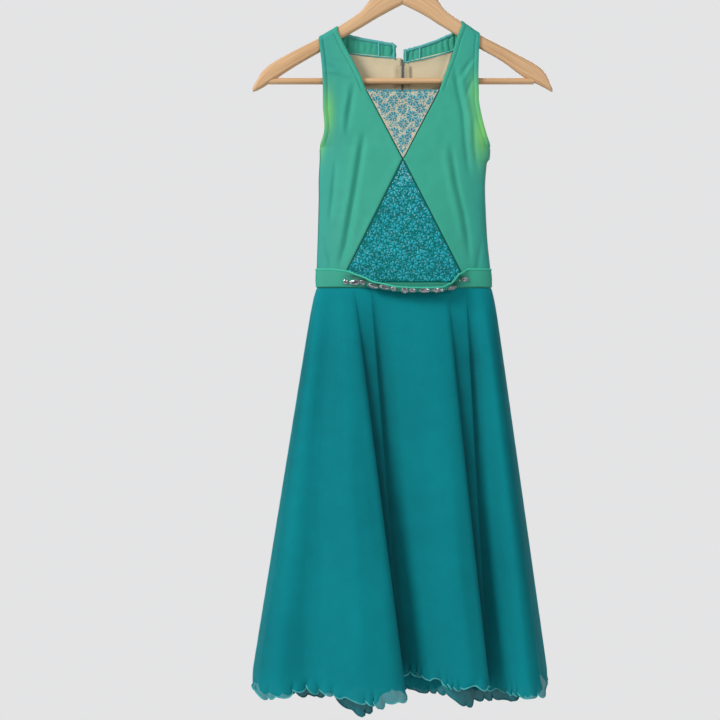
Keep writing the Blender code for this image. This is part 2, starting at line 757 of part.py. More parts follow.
def zip_pieces():
    """The tape behind the back's centre edges, and the slider and pull outside them."""
    rows = []
    for drop in (ZIP_TOP_DROP, 260.0, 340.0, 420.0, BODICE_FOOT_DROP):
        line = []
        for x in (ZIP_TAPE_HALF_WIDTH, 0.0, -ZIP_TAPE_HALF_WIDTH):
            line.append(body_point(x, drop, 1, -JERSEY - GAP - 0.1))
        rows.append(line)
    cloth("zip_tape", rows, ZIP_TAPE_THICK, "zip_tape")

    face = zip_face() + GAP + 0.3
    slider = bmesh.new()
    add_box(
        slider,
        (-SLIDER_HALF_WIDTH, face, -SLIDER_DROP - SLIDER_HALF_HEIGHT),
        (SLIDER_HALF_WIDTH, face + SLIDER_THICK, -SLIDER_DROP + SLIDER_HALF_HEIGHT),
    )
    slider = add_object("zip_slider", slider, "zip_metal", smooth=False)
    low = -SLIDER_DROP - BRIDGE_HALF_HEIGHT
    high = -SLIDER_DROP + BRIDGE_HALF_HEIGHT
    far = face + BRIDGE_REACH
    outline = ((face + 0.5, low), (far, high))
    hole = ((face + 0.9, low + BRIDGE_BAR), (far - BRIDGE_BAR, high - BRIDGE_BAR))
    bridge = bmesh.new()
    add_frame(bridge, outline, hole, -BRIDGE_HALF_WIDTH, BRIDGE_HALF_WIDTH, across=0)
    join(slider, add_object("zip_bridge_helper", bridge, "zip_metal", smooth=False))

    axis_depth = face + HINGE_OUT - 0.3
    tab = bmesh.new()
    top = -SLIDER_DROP + TAB_TOP_BAR
    add_frame(
        tab,
        ((-TAB_HALF_WIDTH, top - TAB_LENGTH), (TAB_HALF_WIDTH, top)),
        (
            (-TAB_EYE_HALF_WIDTH, top - 2 * TAB_TOP_BAR - TAB_EYE_LENGTH),
            (TAB_EYE_HALF_WIDTH, top - 2 * TAB_TOP_BAR),
        ),
        axis_depth - TAB_HALF_THICK,
        axis_depth + TAB_HALF_THICK,
        across=1,
    )
    add_object("zip_pull", tab, "zip_metal", smooth=False)


def hanger_arm(name, table):
    """An arm of the hanger: a loft of upright sections with half-round edges."""
    bm = bmesh.new()
    rings = []
    steps = 6
    for x, top, bottom in table:
        radius = min(ARM_HALF_THICK, (bottom - top) / 2)
        ring = []
        for number in range(steps + 1):
            angle = math.pi * number / steps
            ring.append((ARM_HALF_THICK * math.cos(angle), top + radius - radius * math.sin(angle)))
        for number in range(steps + 1):
            angle = math.pi * number / steps
            ring.append((-ARM_HALF_THICK * math.cos(angle), bottom - radius + radius * math.sin(angle)))
        if bottom - top <= 2 * ARM_HALF_THICK:
            ring = [(depth * radius / ARM_HALF_THICK, drop) for depth, drop in ring]
        rings.append([bm.verts.new(point(x, depth, drop)) for depth, drop in ring])
    bmesh.ops.remove_doubles(bm, verts=bm.verts, dist=1e-6)
    rings = [[vert for vert in ring if vert.is_valid] for ring in rings]
    for one, two in zip(rings, rings[1:]):
        edges = []
        for ring in (one, two):
            for here, there in zip(ring, ring[1:] + ring[:1]):
                edges.append(bm.edges.get((here, there)) or bm.edges.new((here, there)))
        bmesh.ops.bridge_loops(bm, edges=edges)
    bm.faces.new(rings[0])
    bm.faces.new(rings[-1])
    return add_object(name, bm, "pale_wood")


def rod_mesh(radius, left, right, drop, segments=16):
    """A round rod along X."""
    bm = bmesh.new()
    turn = Matrix.Rotation(math.radians(90), 4, "Y")
    place = Matrix.Translation(point((left + right) / 2, 0.0, drop))
    bmesh.ops.create_cone(
        bm,
        cap_ends=True,
        segments=segments,
        radius1=radius * MM,
        radius2=radius * MM,
        depth=(right - left) * MM,
        matrix=place @ turn,
    )
    return bm


def hook():
    """The bent wire hook: a shank, a reverse bend and most of a circle over the rail."""
    radius = HOOK_INNER_RADIUS + HOOK_WIRE_RADIUS
    path = [(0.0, SHANK_FOOT_DROP), (0.0, 52.0), (0.8, 47.0), (4.0, 43.0)]
    for step in range(19):
        angle = math.radians(-62 + step * 15)
        path.append((radius * math.cos(angle), HOOK_INNER_RADIUS - radius * math.sin(angle)))
    curve = bpy.data.curves.new("hanger_hook", "CURVE")
    curve.dimensions = "3D"
    curve.bevel_depth = HOOK_WIRE_RADIUS * MM
    curve.bevel_resolution = 2
    curve.use_fill_caps = True
    spline = curve.splines.new("POLY")
    spline.points.add(len(path) - 1)
    for knot, (x, drop) in zip(spline.points, path):
        knot.co = (*point(x, 0.0, drop), 1.0)
    curve.materials.append(material("steel_wire"))
    made = bpy.data.objects.new("hanger_hook", curve)
    bpy.context.scene.collection.objects.link(made)


def hanger():
    """Two mitred arms, the trouser bar that plugs into them, and the hook."""
    arms = (hanger_arm("hanger_arm_left", LEFT_ARM), hanger_arm("hanger_arm_right", RIGHT_ARM))
    add_object("hanger_bar", rod_mesh(BAR_RADIUS, BAR_LEFT_END, BAR_RIGHT_END, BAR_DROP), "pale_wood")
    bore = rod_mesh(BAR_RADIUS + GAP, BAR_LEFT_END - GAP, BAR_RIGHT_END + GAP, BAR_DROP)
    cutter = add_object("bar_bore_helper", bore, "pale_wood")
    cutter.hide_render = True
    cutter.display_type = "WIRE"
    for arm in arms:
        cut = arm.modifiers.new("bore", "BOOLEAN")
        cut.operation = "DIFFERENCE"
        cut.object = cutter
    hook()


clear_scene()
hanger()
bodice()
inner_waistband()
belt()
stones()
skirt()
zip_pieces()
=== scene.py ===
# %% [markdown]
# # A lyrical dance dress on its hanger
# The dress has a stretch satin bodice with two lace insets, a belt set with stones and two layers
# of chiffon skirt. This lesson dresses the plain solids of the frame: each cloth piece becomes a
# thin shell on its solid's form, with its creases placed one by one, and the hard pieces are
# modelled with Blender's own operators. Tables are in millimetres, with drops measured down
# from the place where the hook bears on its rail.

# %% Load the frame
import math
import random

import bmesh
import bpy
from mathutils import Matrix, Vector, noise


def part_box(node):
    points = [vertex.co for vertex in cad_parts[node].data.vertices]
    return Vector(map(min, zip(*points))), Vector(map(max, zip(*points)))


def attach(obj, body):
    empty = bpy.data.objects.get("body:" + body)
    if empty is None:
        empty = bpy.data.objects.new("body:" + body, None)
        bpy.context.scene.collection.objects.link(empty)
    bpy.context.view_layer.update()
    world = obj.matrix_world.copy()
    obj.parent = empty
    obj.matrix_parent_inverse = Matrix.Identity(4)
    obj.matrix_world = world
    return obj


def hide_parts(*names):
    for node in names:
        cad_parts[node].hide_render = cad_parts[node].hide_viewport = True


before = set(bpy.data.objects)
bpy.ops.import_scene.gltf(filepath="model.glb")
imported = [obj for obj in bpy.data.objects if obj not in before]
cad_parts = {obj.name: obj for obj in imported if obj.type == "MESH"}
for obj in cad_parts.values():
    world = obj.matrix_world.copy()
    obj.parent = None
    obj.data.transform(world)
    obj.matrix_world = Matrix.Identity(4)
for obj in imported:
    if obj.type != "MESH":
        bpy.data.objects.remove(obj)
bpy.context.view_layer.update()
MM = 0.001
DRESS = "dress"

# %% [markdown]
# The camera stands straight in front of the dress, level with the middle of the picture. The
# picture is 720 pixels wide, and a pixel at the dress is 1.48 mm, so the lens is worked out from
# the width that the picture takes in.

# %% Camera
PIXELS = 720
PIXEL = 1.48 * MM
CENTRE_PIXEL_X = 402.7
HOOK_ABOVE_PICTURE = 61.0
CAMERA_DISTANCE = 2.3
SENSOR = 36.0


def picture_point(x, y):
    """The place at the dress of a pixel of the picture."""
    return (x - CENTRE_PIXEL_X) * PIXEL, -(y + HOOK_ABOVE_PICTURE) * PIXEL


camera_data = bpy.data.cameras.new("camera")
camera_data.sensor_width = SENSOR
camera_data.lens = SENSOR * CAMERA_DISTANCE / (PIXELS * PIXEL)
camera = bpy.data.objects.new("camera", camera_data)
bpy.context.scene.collection.objects.link(camera)
middle_x, middle_z = picture_point(PIXELS / 2, PIXELS / 2)
camera.location = (middle_x, -CAMERA_DISTANCE, middle_z)
camera.rotation_euler = (math.radians(90), 0, 0)
bpy.context.scene.camera = camera
print("lens", round(camera_data.lens, 1), "mm")

# %% [markdown]
# The dress hangs in front of a pale even background, over a small pale floor. The background is
# the sky's own colour as the camera sees it, and the light that the sky gives is set apart from
# it, so that the dress can be seen from all sides. Two large soft lamps shape the folds.

# %% Room and light
FLOOR_DROP = 1.45
FLOOR_RADIUS = 1.1


def deselect():
    bpy.ops.object.select_all(action="DESELECT")


floor_finish = bpy.data.materials.new("pale_floor")
floor_finish.use_nodes = True
floor_finish.node_tree.nodes["Principled BSDF"].inputs["Base Color"].default_value = (0.80, 0.79, 0.78, 1.0)
floor_finish.node_tree.nodes["Principled BSDF"].inputs["Roughness"].default_value = 0.9
deselect()
bpy.ops.mesh.primitive_circle_add(vertices=96, radius=FLOOR_RADIUS, fill_type="NGON", location=(0, 0, -FLOOR_DROP))
floor = bpy.context.active_object
floor.name = "floor"
floor.data.materials.append(floor_finish)

BACKGROUND = (0.775, 0.776, 0.785, 1.0)
SKY_LIGHT = (0.90, 0.96, 1.0, 1.0)
SKY_STRENGTH = 0.34
world = bpy.data.worlds.new("sky")
world.use_nodes = True
sky_nodes, sky_links = world.node_tree.nodes, world.node_tree.links
seen = sky_nodes.new("ShaderNodeLightPath")
lit = sky_nodes["Background"]
lit.inputs["Color"].default_value = SKY_LIGHT
lit.inputs["Strength"].default_value = SKY_STRENGTH
shown = sky_nodes.new("ShaderNodeBackground")
shown.inputs["Color"].default_value = BACKGROUND
either = sky_nodes.new("ShaderNodeMixShader")
sky_links.new(seen.outputs["Is Camera Ray"], either.inputs["Fac"])
sky_links.new(lit.outputs["Background"], either.inputs[1])
sky_links.new(shown.outputs["Background"], either.inputs[2])
sky_links.new(either.outputs["Shader"], sky_nodes["World Output"].inputs["Surface"])
bpy.context.scene.world = world
bpy.context.scene.view_settings.view_transform = "Standard"

LAMPS = (
    # name, place, aim, size, watts
    ("window", (-2.3, -1.7, 1.1), (-0.05, 0.0, -0.7), 1.1, 78.0),
    ("fill", (1.6, -3.0, 0.4), (0.0, 0.0, -0.6), 1.8, 22.0),
    ("back", (0.8, 2.6, 0.6), (0.0, 0.0, -0.6), 2.0, 40.0),
)
for name, place, aim, size, watts in LAMPS:
    lamp = bpy.data.lights.new(name, "AREA")
    lamp.size = size
    lamp.energy = watts
    holder = bpy.data.objects.new(name, lamp)
    bpy.context.scene.collection.objects.link(holder)
    holder.location = place
    holder.rotation_euler = (Vector(aim) - Vector(place)).to_track_quat("-Z", "Y").to_euler()
print("lamps:", len(LAMPS))

# %% [markdown]
# Every cloth here shows its threads from close by. A weave is two sets of fine waves crossing on
# the cloth's own map, whose unit is a metre along the cloth. It is a shared node group, placed in
# each material with its own thread counts. A second group gives the slow change of tone that dye
# and handling leave.

# %% Shared node groups
def new_group(name, inputs, outputs):
    group = bpy.data.node_groups.new(name, "ShaderNodeTree")
    for socket, value in inputs:
        made = group.interface.new_socket(socket, in_out="INPUT", socket_type="NodeSocketFloat")
        made.default_value = value
    for socket in outputs:
        group.interface.new_socket(socket, in_out="OUTPUT", socket_type="NodeSocketFloat")
    return group, group.nodes.new("NodeGroupInput"), group.nodes.new("NodeGroupOutput")


def math_node(nodes, links, operation, first, second=None, third=None):
    node = nodes.new("ShaderNodeMath")
    node.operation = operation
    for socket, value in zip(node.inputs, (first, second, third)):
        if value is None:
            continue
        if isinstance(value, (int, float)):
            socket.default_value = value
        else:
            links.new(value, socket)
    return node.outputs[0]


def weave_group():
    """Warp and weft ridges on the cloth's own map: Height for bump, Gaps between threads."""
    group, ins, outs = new_group("woven_threads", (("Warp", 2000.0), ("Weft", 2000.0)), ("Height", "Gaps"))
    nodes, links = group.nodes, group.links
    where = nodes.new("ShaderNodeUVMap")
    where.uv_map = "cloth"
    split = nodes.new("ShaderNodeSeparateXYZ")
    links.new(where.outputs["UV"], split.inputs[0])
    waves = []
    for axis, count in (("X", "Warp"), ("Y", "Weft")):
        turns = math_node(nodes, links, "MULTIPLY", split.outputs[axis], ins.outputs[count])
        angle = math_node(nodes, links, "MULTIPLY", turns, 2 * math.pi)
        waves.append(math_node(nodes, links, "SINE", angle))
    links.new(math_node(nodes, links, "ADD", *waves), outs.inputs["Height"])
    links.new(math_node(nodes, links, "MULTIPLY", *waves), outs.inputs["Gaps"])
    return group


def tone_group():
    """Slow and fine change of tone over the object, each from -1 to 1."""
    group, ins, outs = new_group("dye_tone", (("Slow", 9.0), ("Fine", 140.0)), ("Slow", "Fine"))
    nodes, links = group.nodes, group.links
    where = nodes.new("ShaderNodeTexCoord")
    for name in ("Slow", "Fine"):
        cloud = nodes.new("ShaderNodeTexNoise")
        cloud.inputs["Detail"].default_value = 3.0
        links.new(where.outputs["Object"], cloud.inputs["Vector"])
        links.new(ins.outputs[name], cloud.inputs["Scale"])
        wide = math_node(nodes, links, "MULTIPLY_ADD", cloud.outputs["Fac"], 4.0, -2.0)
        links.new(wide, outs.inputs[name])
    return group


WEAVE = weave_group()
TONE = tone_group()
print("groups:", WEAVE.name, TONE.name)

# %% [markdown]
# A small class keeps each material's nodes short to write. Colours are given as a picture shows
# them, from 0 to 255, and turned into the linear values that the shader reads.

# %% Material helper
def linear(red, green, blue):
    """A picture's colour, 0 to 255, as the shader's linear one."""
    parts = []
    for value in (red, green, blue):
        share = value / 255
        parts.append(share / 12.92 if share <= 0.04045 else ((share + 0.055) / 1.055) ** 2.4)
    return (*parts, 1.0)


class Finish:
    """A Principled material with the shared groups at hand."""

    def __init__(self, name, roughness, metallic=0.0, sheen=0.0, specular=0.5):
        self.material = bpy.data.materials.new(name)
        self.material.use_nodes = True
        self.nodes = self.material.node_tree.nodes
        self.links = self.material.node_tree.links
        self.shader = self.nodes["Principled BSDF"]
        self.shader.inputs["Roughness"].default_value = roughness
        self.shader.inputs["Metallic"].default_value = metallic
        self.shader.inputs["Sheen Weight"].default_value = sheen
        self.shader.inputs["Specular IOR Level"].default_value = specular

    def group(self, tree, **values):
        node = self.nodes.new("ShaderNodeGroup")
        node.node_tree = tree
        for name, value in values.items():
            node.inputs[name].default_value = value
        return node

    def math(self, operation, *values):
        return math_node(self.nodes, self.links, operation, *values)

    def mix(self, share, first, second, mode="MIX"):
        """A mix of two colours, each a tuple or a socket."""
        node = self.nodes.new("ShaderNodeMix")
        node.data_type = "RGBA"
        node.blend_type = mode
        sockets = [s for s in node.inputs if s.type == "RGBA"]
        for socket, value in ((node.inputs[0], share), (sockets[0], first), (sockets[1], second)):
            if isinstance(value, (tuple, float, int)):
                socket.default_value = value
            else:
                self.links.new(value, socket)
        return next(s for s in node.outputs if s.type == "RGBA")

    def colour(self, value):
        if isinstance(value, tuple):
            self.shader.inputs["Base Color"].default_value = value
        else:
            self.links.new(value, self.shader.inputs["Base Color"])

    def bump(self, height, strength, distance):
        node = self.nodes.new("ShaderNodeBump")
        node.inputs["Strength"].default_value = strength
        node.inputs["Distance"].default_value = distance
        self.links.new(height, node.inputs["Height"])
        self.links.new(node.outputs["Normal"], self.shader.inputs["Normal"])

    def object_axes(self):
        where = self.nodes.new("ShaderNodeTexCoord")
        split = self.nodes.new("ShaderNodeSeparateXYZ")
        self.links.new(where.outputs["Object"], split.inputs[0])
        return split.outputs

    def spot(self, x, z, wide, tall):
        """A soft patch of 1 at a place on the front, falling to 0 at its width and height."""
        axes = self.object_axes()
        across = self.math("DIVIDE", self.math("SUBTRACT", axes["X"], x), wide)
        upward = self.math("DIVIDE", self.math("SUBTRACT", axes["Z"], z), tall)
        square = self.math("ADD", self.math("MULTIPLY", across, across), self.math("MULTIPLY", upward, upward))
        return self.math("POWER", math.e, self.math("MULTIPLY", square, -1.0))


# %% [markdown]
# The bodice is stretch satin dyed by hand: green in the middle, more teal towards the side
# seams, and lime at the underarms, where the dye fades. Its sheen is low and its knit runs in
# very fine ribs.

# %% Jersey
JERSEY_GREEN = linear(58, 176, 148)
JERSEY_TEAL = linear(44, 158, 150)
JERSEY_LIME = linear(122, 208, 112)
# x, z, half width, half height and strength of each lime patch, in metres
LIME_PATCHES = (
    (-0.110, -0.258, 0.009, 0.034, 0.85),
    (-0.121, -0.292, 0.006, 0.030, 0.9),
    (0.116, -0.285, 0.013, 0.042, 1.0),
    (0.106, -0.232, 0.010, 0.030, 0.6),
)


# the same for the shade in the belt's sag
BELT_SHADE = (
    (-0.070, -0.5000, 0.012, 0.0050, 0.9), (-0.056, -0.5060, 0.012, 0.0050, 1.0),
    (-0.040, -0.5135, 0.013, 0.0040, 1.0), (0.084, -0.5020, 0.006, 0.0055, 0.9),
    (0.072, -0.5110, 0.010, 0.0050, 1.0),
)
JERSEY_SHADE = linear(8, 78, 64)


def jersey(name, dye=True, deep=1.0, colour=JERSEY_GREEN, patches=()):
    finish = Finish(name, 0.52, sheen=0.05, specular=0.3)
    tone = finish.group(TONE, Slow=7.0, Fine=60.0)
    weave = finish.group(WEAVE, Warp=900.0, Weft=1300.0)
    if dye:
        side = finish.math("ABSOLUTE", finish.object_axes()["X"])
        share = finish.math("MULTIPLY", finish.math("POWER", finish.math("DIVIDE", side, 0.128), 4.0), 0.8)
        share = finish.math("MAXIMUM", finish.math("ADD", share, finish.math("MULTIPLY", tone.outputs["Slow"], 0.10)), 0.0)
        colour = finish.mix(finish.math("MINIMUM", share, 1.0), JERSEY_GREEN, JERSEY_TEAL)
        for x, z, wide, tall, strength in LIME_PATCHES:
            patch = finish.math("MULTIPLY", finish.spot(x, z, wide, tall), strength)
            colour = finish.mix(patch, colour, JERSEY_LIME)
    # The patches paint shade into the colour, on the front only.
    front = finish.math("LESS_THAN", finish.object_axes()["Y"], -0.008) if patches else None
    for x, z, wide, tall, strength in patches:
        patch = finish.math("MULTIPLY", finish.math("MULTIPLY", finish.spot(x, z, wide, tall), strength), front)
        colour = finish.mix(patch, colour, JERSEY_SHADE)
    # deep sets the brightness: above 1 it is a painted highlight, below 1 painted shade. The weave's ridges also
    # lighten the colour slightly, a small painted shade between threads.
    shade = finish.math("MULTIPLY_ADD", tone.outputs["Fine"], 0.03, deep)
    shade = finish.math("MULTIPLY_ADD", weave.outputs["Height"], 0.012, shade)
    grey = finish.nodes.new("ShaderNodeCombineColor")
    for socket in grey.inputs[:3]:
        finish.links.new(shade, socket)
    finish.colour(finish.mix(1.0, colour, grey.outputs[0], "MULTIPLY"))
    uneven = finish.math("MULTIPLY_ADD", tone.outputs["Fine"], 2.2, weave.outputs["Height"])
    finish.bump(uneven, 0.3, 0.0004)
    return finish.material


# %% [markdown]
# Chiffon is a sheer crepe: light comes through between its threads. One layer covers about three
# quarters of what lies behind it, so a single layer at the edges and the hem looks greyer and
# lighter than the body of the skirt, where four layers lie behind each other.
# The shade in the flutes is painted into the chiffon's colour as well.

# %% Chiffon, mesh and lace
CHIFFON_TEAL = linear(2, 152, 160)
CHIFFON_DEEP = linear(0, 128, 138)
CHIFFON_PAINTED_SHADE = linear(0, 44, 52)
CHIFFON_COVER = 0.90
UNDER_COVER = 0.97
NUDE = linear(234, 218, 184)
LACE_BLUE = linear(42, 152, 170)
IVORY = linear(214, 204, 178)
LACE_TEAL = linear(40, 186, 202)
LACE_GROUND = linear(2, 118, 114)


def chiffon(name, cover, darker=0.0):
    finish = Finish(name, 0.75, sheen=0.02, specular=0.12)
    tone = finish.group(TONE, Slow=5.0, Fine=260.0)
    weave = finish.group(WEAVE, Warp=1500.0, Weft=1300.0)
    share = finish.math("MULTIPLY_ADD", tone.outputs["Slow"], 0.3, 0.4 + darker)
    dyed = finish.mix(finish.math("MINIMUM", finish.math("MAXIMUM", share, 0.0), 1.0), CHIFFON_TEAL, CHIFFON_DEEP)
    # The fold attribute paints the flutes' shade into the colour; the slow mottle added to it is random tone.
    fold = finish.nodes.new("ShaderNodeAttribute")
    fold.attribute_name = "fold"
    mottled = finish.math("MULTIPLY_ADD", finish.group(TONE, Slow=38.0, Fine=90.0).outputs["Slow"], 0.05, 0.03)
    shaded = finish.math("MULTIPLY_ADD", fold.outputs["Fac"], 1.15, finish.math("MAXIMUM", mottled, 0.0))
    finish.colour(finish.mix(finish.math("MINIMUM", shaded, 1.0), dyed, CHIFFON_PAINTED_SHADE))
    seen = finish.math("MULTIPLY_ADD", weave.outputs["Gaps"], 0.05, cover)
    finish.links.new(finish.math("MULTIPLY_ADD", tone.outputs["Fine"], 0.02, seen), finish.shader.inputs["Alpha"])
    crepe = finish.math("MULTIPLY_ADD", tone.outputs["Fine"], 1.5, weave.outputs["Height"])
    finish.bump(crepe, 0.25, 0.0003)
    return finish.material


def net(name, colour, cover, threads):
    """A fine stretch mesh, whose holes show what lies behind."""
    finish = Finish(name, 0.85, sheen=0.02, specular=0.15)
    weave = finish.group(WEAVE, Warp=threads, Weft=threads)
    tone = finish.group(TONE, Slow=12.0, Fine=120.0)
    shade = finish.mix(finish.math("MULTIPLY_ADD", tone.outputs["Slow"], 0.12, 0.2), colour, linear(204, 184, 144))
    finish.colour(shade if colour == NUDE else colour)
    finish.links.new(finish.math("MULTIPLY_ADD", weave.outputs["Gaps"], 0.06, cover), finish.shader.inputs["Alpha"])
    finish.bump(weave.outputs["Height"], 0.2, 0.0003)
    return finish.material


def thread(name, colour, roughness=0.55, other=None, share=0.35):
    """Twisted thread, used for lace cords, hems and stitches."""
    finish = Finish(name, roughness, sheen=0.03, specular=0.3)
    tone = finish.group(TONE, Slow=60.0, Fine=900.0)
    second = other or tuple(value * 0.7 for value in colour[:3]) + (1.0,)
    mixed = finish.math("MULTIPLY_ADD", tone.outputs["Slow"], share, 0.35)
    finish.colour(finish.mix(finish.math("MINIMUM", finish.math("MAXIMUM", mixed, 0.0), 1.0), colour, second))
    finish.bump(tone.outputs["Fine"], 0.3, 0.0002)
    return finish.material


# %% [markdown]
# The hard pieces are pale varnished wood, polished steel, painted zip metal and foiled stones in
# silver settings. The wood's grain runs along each piece, on a map whose first axis is the
# grain's direction.

# %% Hard finishes
WOOD_PALE = linear(234, 192, 146)
WOOD_DARK = linear(200, 150, 102)


def wood(name):
    finish = Finish(name, 0.42, specular=0.4)
    where = finish.nodes.new("ShaderNodeUVMap")
    where.uv_map = "cloth"
    stretch = finish.nodes.new("ShaderNodeMapping")
    stretch.inputs["Scale"].default_value = (9.0, 230.0, 1.0)
    finish.links.new(where.outputs["UV"], stretch.inputs["Vector"])
    grain = finish.nodes.new("ShaderNodeTexNoise")
    grain.inputs["Scale"].default_value = 1.0
    grain.inputs["Detail"].default_value = 5.0
    grain.inputs["Distortion"].default_value = 0.6
    finish.links.new(stretch.outputs["Vector"], grain.inputs["Vector"])
    share = finish.math("MULTIPLY_ADD", grain.outputs["Fac"], 2.2, -0.65)
    finish.colour(finish.mix(finish.math("MINIMUM", finish.math("MAXIMUM", share, 0.0), 1.0), WOOD_PALE, WOOD_DARK))
    finish.bump(grain.outputs["Fac"], 0.12, 0.0004)
    finish.shader.inputs["Coat Weight"].default_value = 0.25
    finish.shader.inputs["Coat Roughness"].default_value = 0.25
    return finish.material


def metal(name, colour, roughness):
    finish = Finish(name, roughness, metallic=1.0)
    tone = finish.group(TONE, Slow=90.0, Fine=1200.0)
    mixed = finish.math("MULTIPLY_ADD", tone.outputs["Slow"], 0.2, 0.25)
    finish.colour(finish.mix(finish.math("MAXIMUM", mixed, 0.0), colour, tuple(v * 0.6 for v in colour[:3]) + (1.0,)))
    finish.bump(tone.outputs["Fine"], 0.1, 0.0001)
    return finish.material


def gem(name):
    """A foiled stone, partly metallic, with painted shade and painted white highlights from facet to facet."""
    finish = Finish(name, 0.06, metallic=0.75, specular=0.8)
    where = finish.nodes.new("ShaderNodeNewGeometry")
    cloud = finish.nodes.new("ShaderNodeTexNoise")
    cloud.inputs["Scale"].default_value = 2.3
    finish.links.new(where.outputs["Normal"], cloud.inputs["Vector"])
    # The ramp paints dark shade and white highlights by the facet's direction, over the stone's own reflection.
    ramp = finish.nodes.new("ShaderNodeValToRGB")
    ramp.color_ramp.elements[0].position = 0.30
    ramp.color_ramp.elements[0].color = linear(52, 76, 82)
    ramp.color_ramp.elements[1].position = 0.72
    ramp.color_ramp.elements[1].color = linear(250, 250, 250)
    painted_facet_middle = ramp.color_ramp.elements.new(0.5)
    painted_facet_middle.color = linear(168, 170, 174)
    finish.links.new(cloud.outputs["Fac"], ramp.inputs["Fac"])
    finish.colour(ramp.outputs["Color"])
    return finish.material


MATERIALS = {
    "jersey": jersey("dyed_jersey"),
    "jersey_plain": jersey("plain_jersey", dye=False),
    "chiffon_outer": chiffon("outer_chiffon", CHIFFON_COVER),
    "chiffon_under": chiffon("under_chiffon", UNDER_COVER, 0.5),
    "nude_mesh": net("nude_mesh", NUDE, 0.93, 1100.0),
    "lace_ivory": net("lace_ivory", IVORY, 0.95, 900.0),
    "lace_ground": net("lace_ground", LACE_GROUND, 1.0, 700.0),
    "lace_blue": thread("lace_blue_thread", LACE_BLUE, other=linear(24, 122, 142)),
    "lace_teal": thread("lace_teal_thread", LACE_TEAL, other=linear(18, 142, 158), share=0.5),
    "lace_deep": thread("lace_deep_thread", linear(14, 160, 164), other=linear(4, 86, 90), share=0.8),
    "hem_thread": thread("hem_thread", linear(16, 132, 138), other=linear(2, 80, 88)),
    # The outer hem's thread is painted lighter than the under hem's, as a painted highlight.
    "hem_light": thread("hem_thread_painted_highlight", linear(88, 194, 194), other=linear(16, 122, 130), share=0.6),
    "seam_thread": thread("seam_thread", linear(2, 84, 80)),
    "stitch_thread": thread("stitch_thread", linear(44, 142, 116)),
    "zip_tape": thread("zip_tape_weave", linear(206, 190, 156)),
    "wood": wood("varnished_wood"),
    "steel": metal("polished_steel", linear(205, 205, 205), 0.2),
    "zip_metal": metal("zip_metal", linear(120, 128, 126), 0.35),
    "silver": metal("silver_setting", linear(186, 184, 182), 0.3),
    "gem": gem("foiled_stone"),
    # The sequins are painted near white, which stands in for their glints.
    "sequin": thread("sequin_painted_glint", linear(196, 240, 246), 0.2, other=linear(90, 200, 216)),
    "edge_thread": thread("edge_thread", linear(96, 190, 188), other=linear(60, 160, 156)),
    # The edge roll, the inner waistband and the belt, which also serves the neck bands, are copies of the plain
    # jersey: the roll is painted lighter as a highlight, the other two darker as painted shade.
    "jersey_edge": jersey("edge_jersey", dye=False, deep=1.3),
    "neck_binding": jersey("neck_binding", dye=False, colour=linear(84, 176, 172)),
    "waist_jersey": jersey("waist_jersey", dye=False, deep=0.7),
    "belt_jersey": jersey("belt_jersey", dye=False, deep=0.9, patches=BELT_SHADE),
}
print("materials:", len(MATERIALS))

# %% [markdown]
# The flattened body of the dress is a soft oval at each level: half as deep as the table says in
# the middle, and closing to nothing at the side seams once it is below the armholes. All the
# bodice pieces are cut from this one form, so that they meet at their seams.

# %% The form of the bodice
SHOULDER_RADIUS = 8.2
NECK_DROP = 224.0
UNDERARM_DROP = 309.0
APEX_DROP = 327.1
BODICE_FOOT_DROP = 508.8
WAIST_SEAM_DROP = 517.0
SEAM = 0.2
JERSEY_THICK = 1.0
# drop, half depth
BODY_DEPTH = ((120, 8.2), (160, 8.6), (225, 11.0), (309, 15.0), (400, 17.5), (489, 16.5), (520, 16.5))
# drop, left x, right x
SIDE_SEAMS = (
    (120.0, -123.0, 129.2), (309.0, -122.4, 129.2), (327.0, -122.4, 124.8), (357.0, -123.9, 121.8),
    (386.0, -123.9, 121.8), (445.5, -125.4, 124.8), (489.0, -126.8, 129.2), (520.0, -126.8, 130.5),
)


def read(table, at, column=1):
    """A column of a table, between the two rows around the value of its first column."""
    if at <= table[0][0]:
        return table[0][column]
    for low, high in zip(table, table[1:]):
        if at <= high[0]:
            share = (at - low[0]) / (high[0] - low[0])
            return low[column] + (high[column] - low[column]) * share
    return table[-1][column]


def point(x, depth, drop):
    return Vector((x * MM, depth * MM, -drop * MM))


def body_depth(x, drop, side=None):
    """Half the depth at a place. Side is where the side seam lies, if not as in the table."""
    share = min(abs(x / (side or read(SIDE_SEAMS, drop, 1 if x < 0 else 2))), 1.0)
    closing = min(max((drop - NECK_DROP) / (UNDERARM_DROP - NECK_DROP), 0.0), 1.0)
    return read(BODY_DEPTH, drop) * max(1.0 - closing**3 * share**3, 0.0) ** (1 / 3)


def body_place(x, drop, way, out=0.0, side=None):
    """A place on the bodice's outer face. Way is -1 at the front and 1 at the back."""
    return point(x, way * max(body_depth(x, drop, side) + out, SEAM), drop)


def smooth_between(before, start, end, after, share):
    """A value on a smooth curve that passes through start and end."""
    square, cube = share**2, share**3
    return 0.5 * (
        2 * start + (end - before) * share + (2 * before - 5 * start + 4 * end - after) * square
        + (3 * start - before - 3 * end + after) * cube
    )


def smooth_rows(table, steps):
    """A table with steps rows between each two of its rows, on smooth curves."""
    rows = []
    for number in range(len(table) - 1):
        four = [table[max(number - 1, 0)], table[number], table[number + 1], table[min(number + 2, len(table) - 1)]]
        for step in range(steps):
            rows.append([smooth_between(*values, step / steps) for values in zip(*four)])
    rows.append(list(table[-1]))
    return rows


print("half depth at the bust", body_depth(0, 400), "mm")

# %% [markdown]
# A cloth piece is a grid of points on its outer face. The helper closes it into a thin wall, or
# leaves it a single surface where light has to pass, and lays its map out in metres along the
# cloth, so that every weave has its true size. Seen from outside, rows run down and columns run
# to the right.

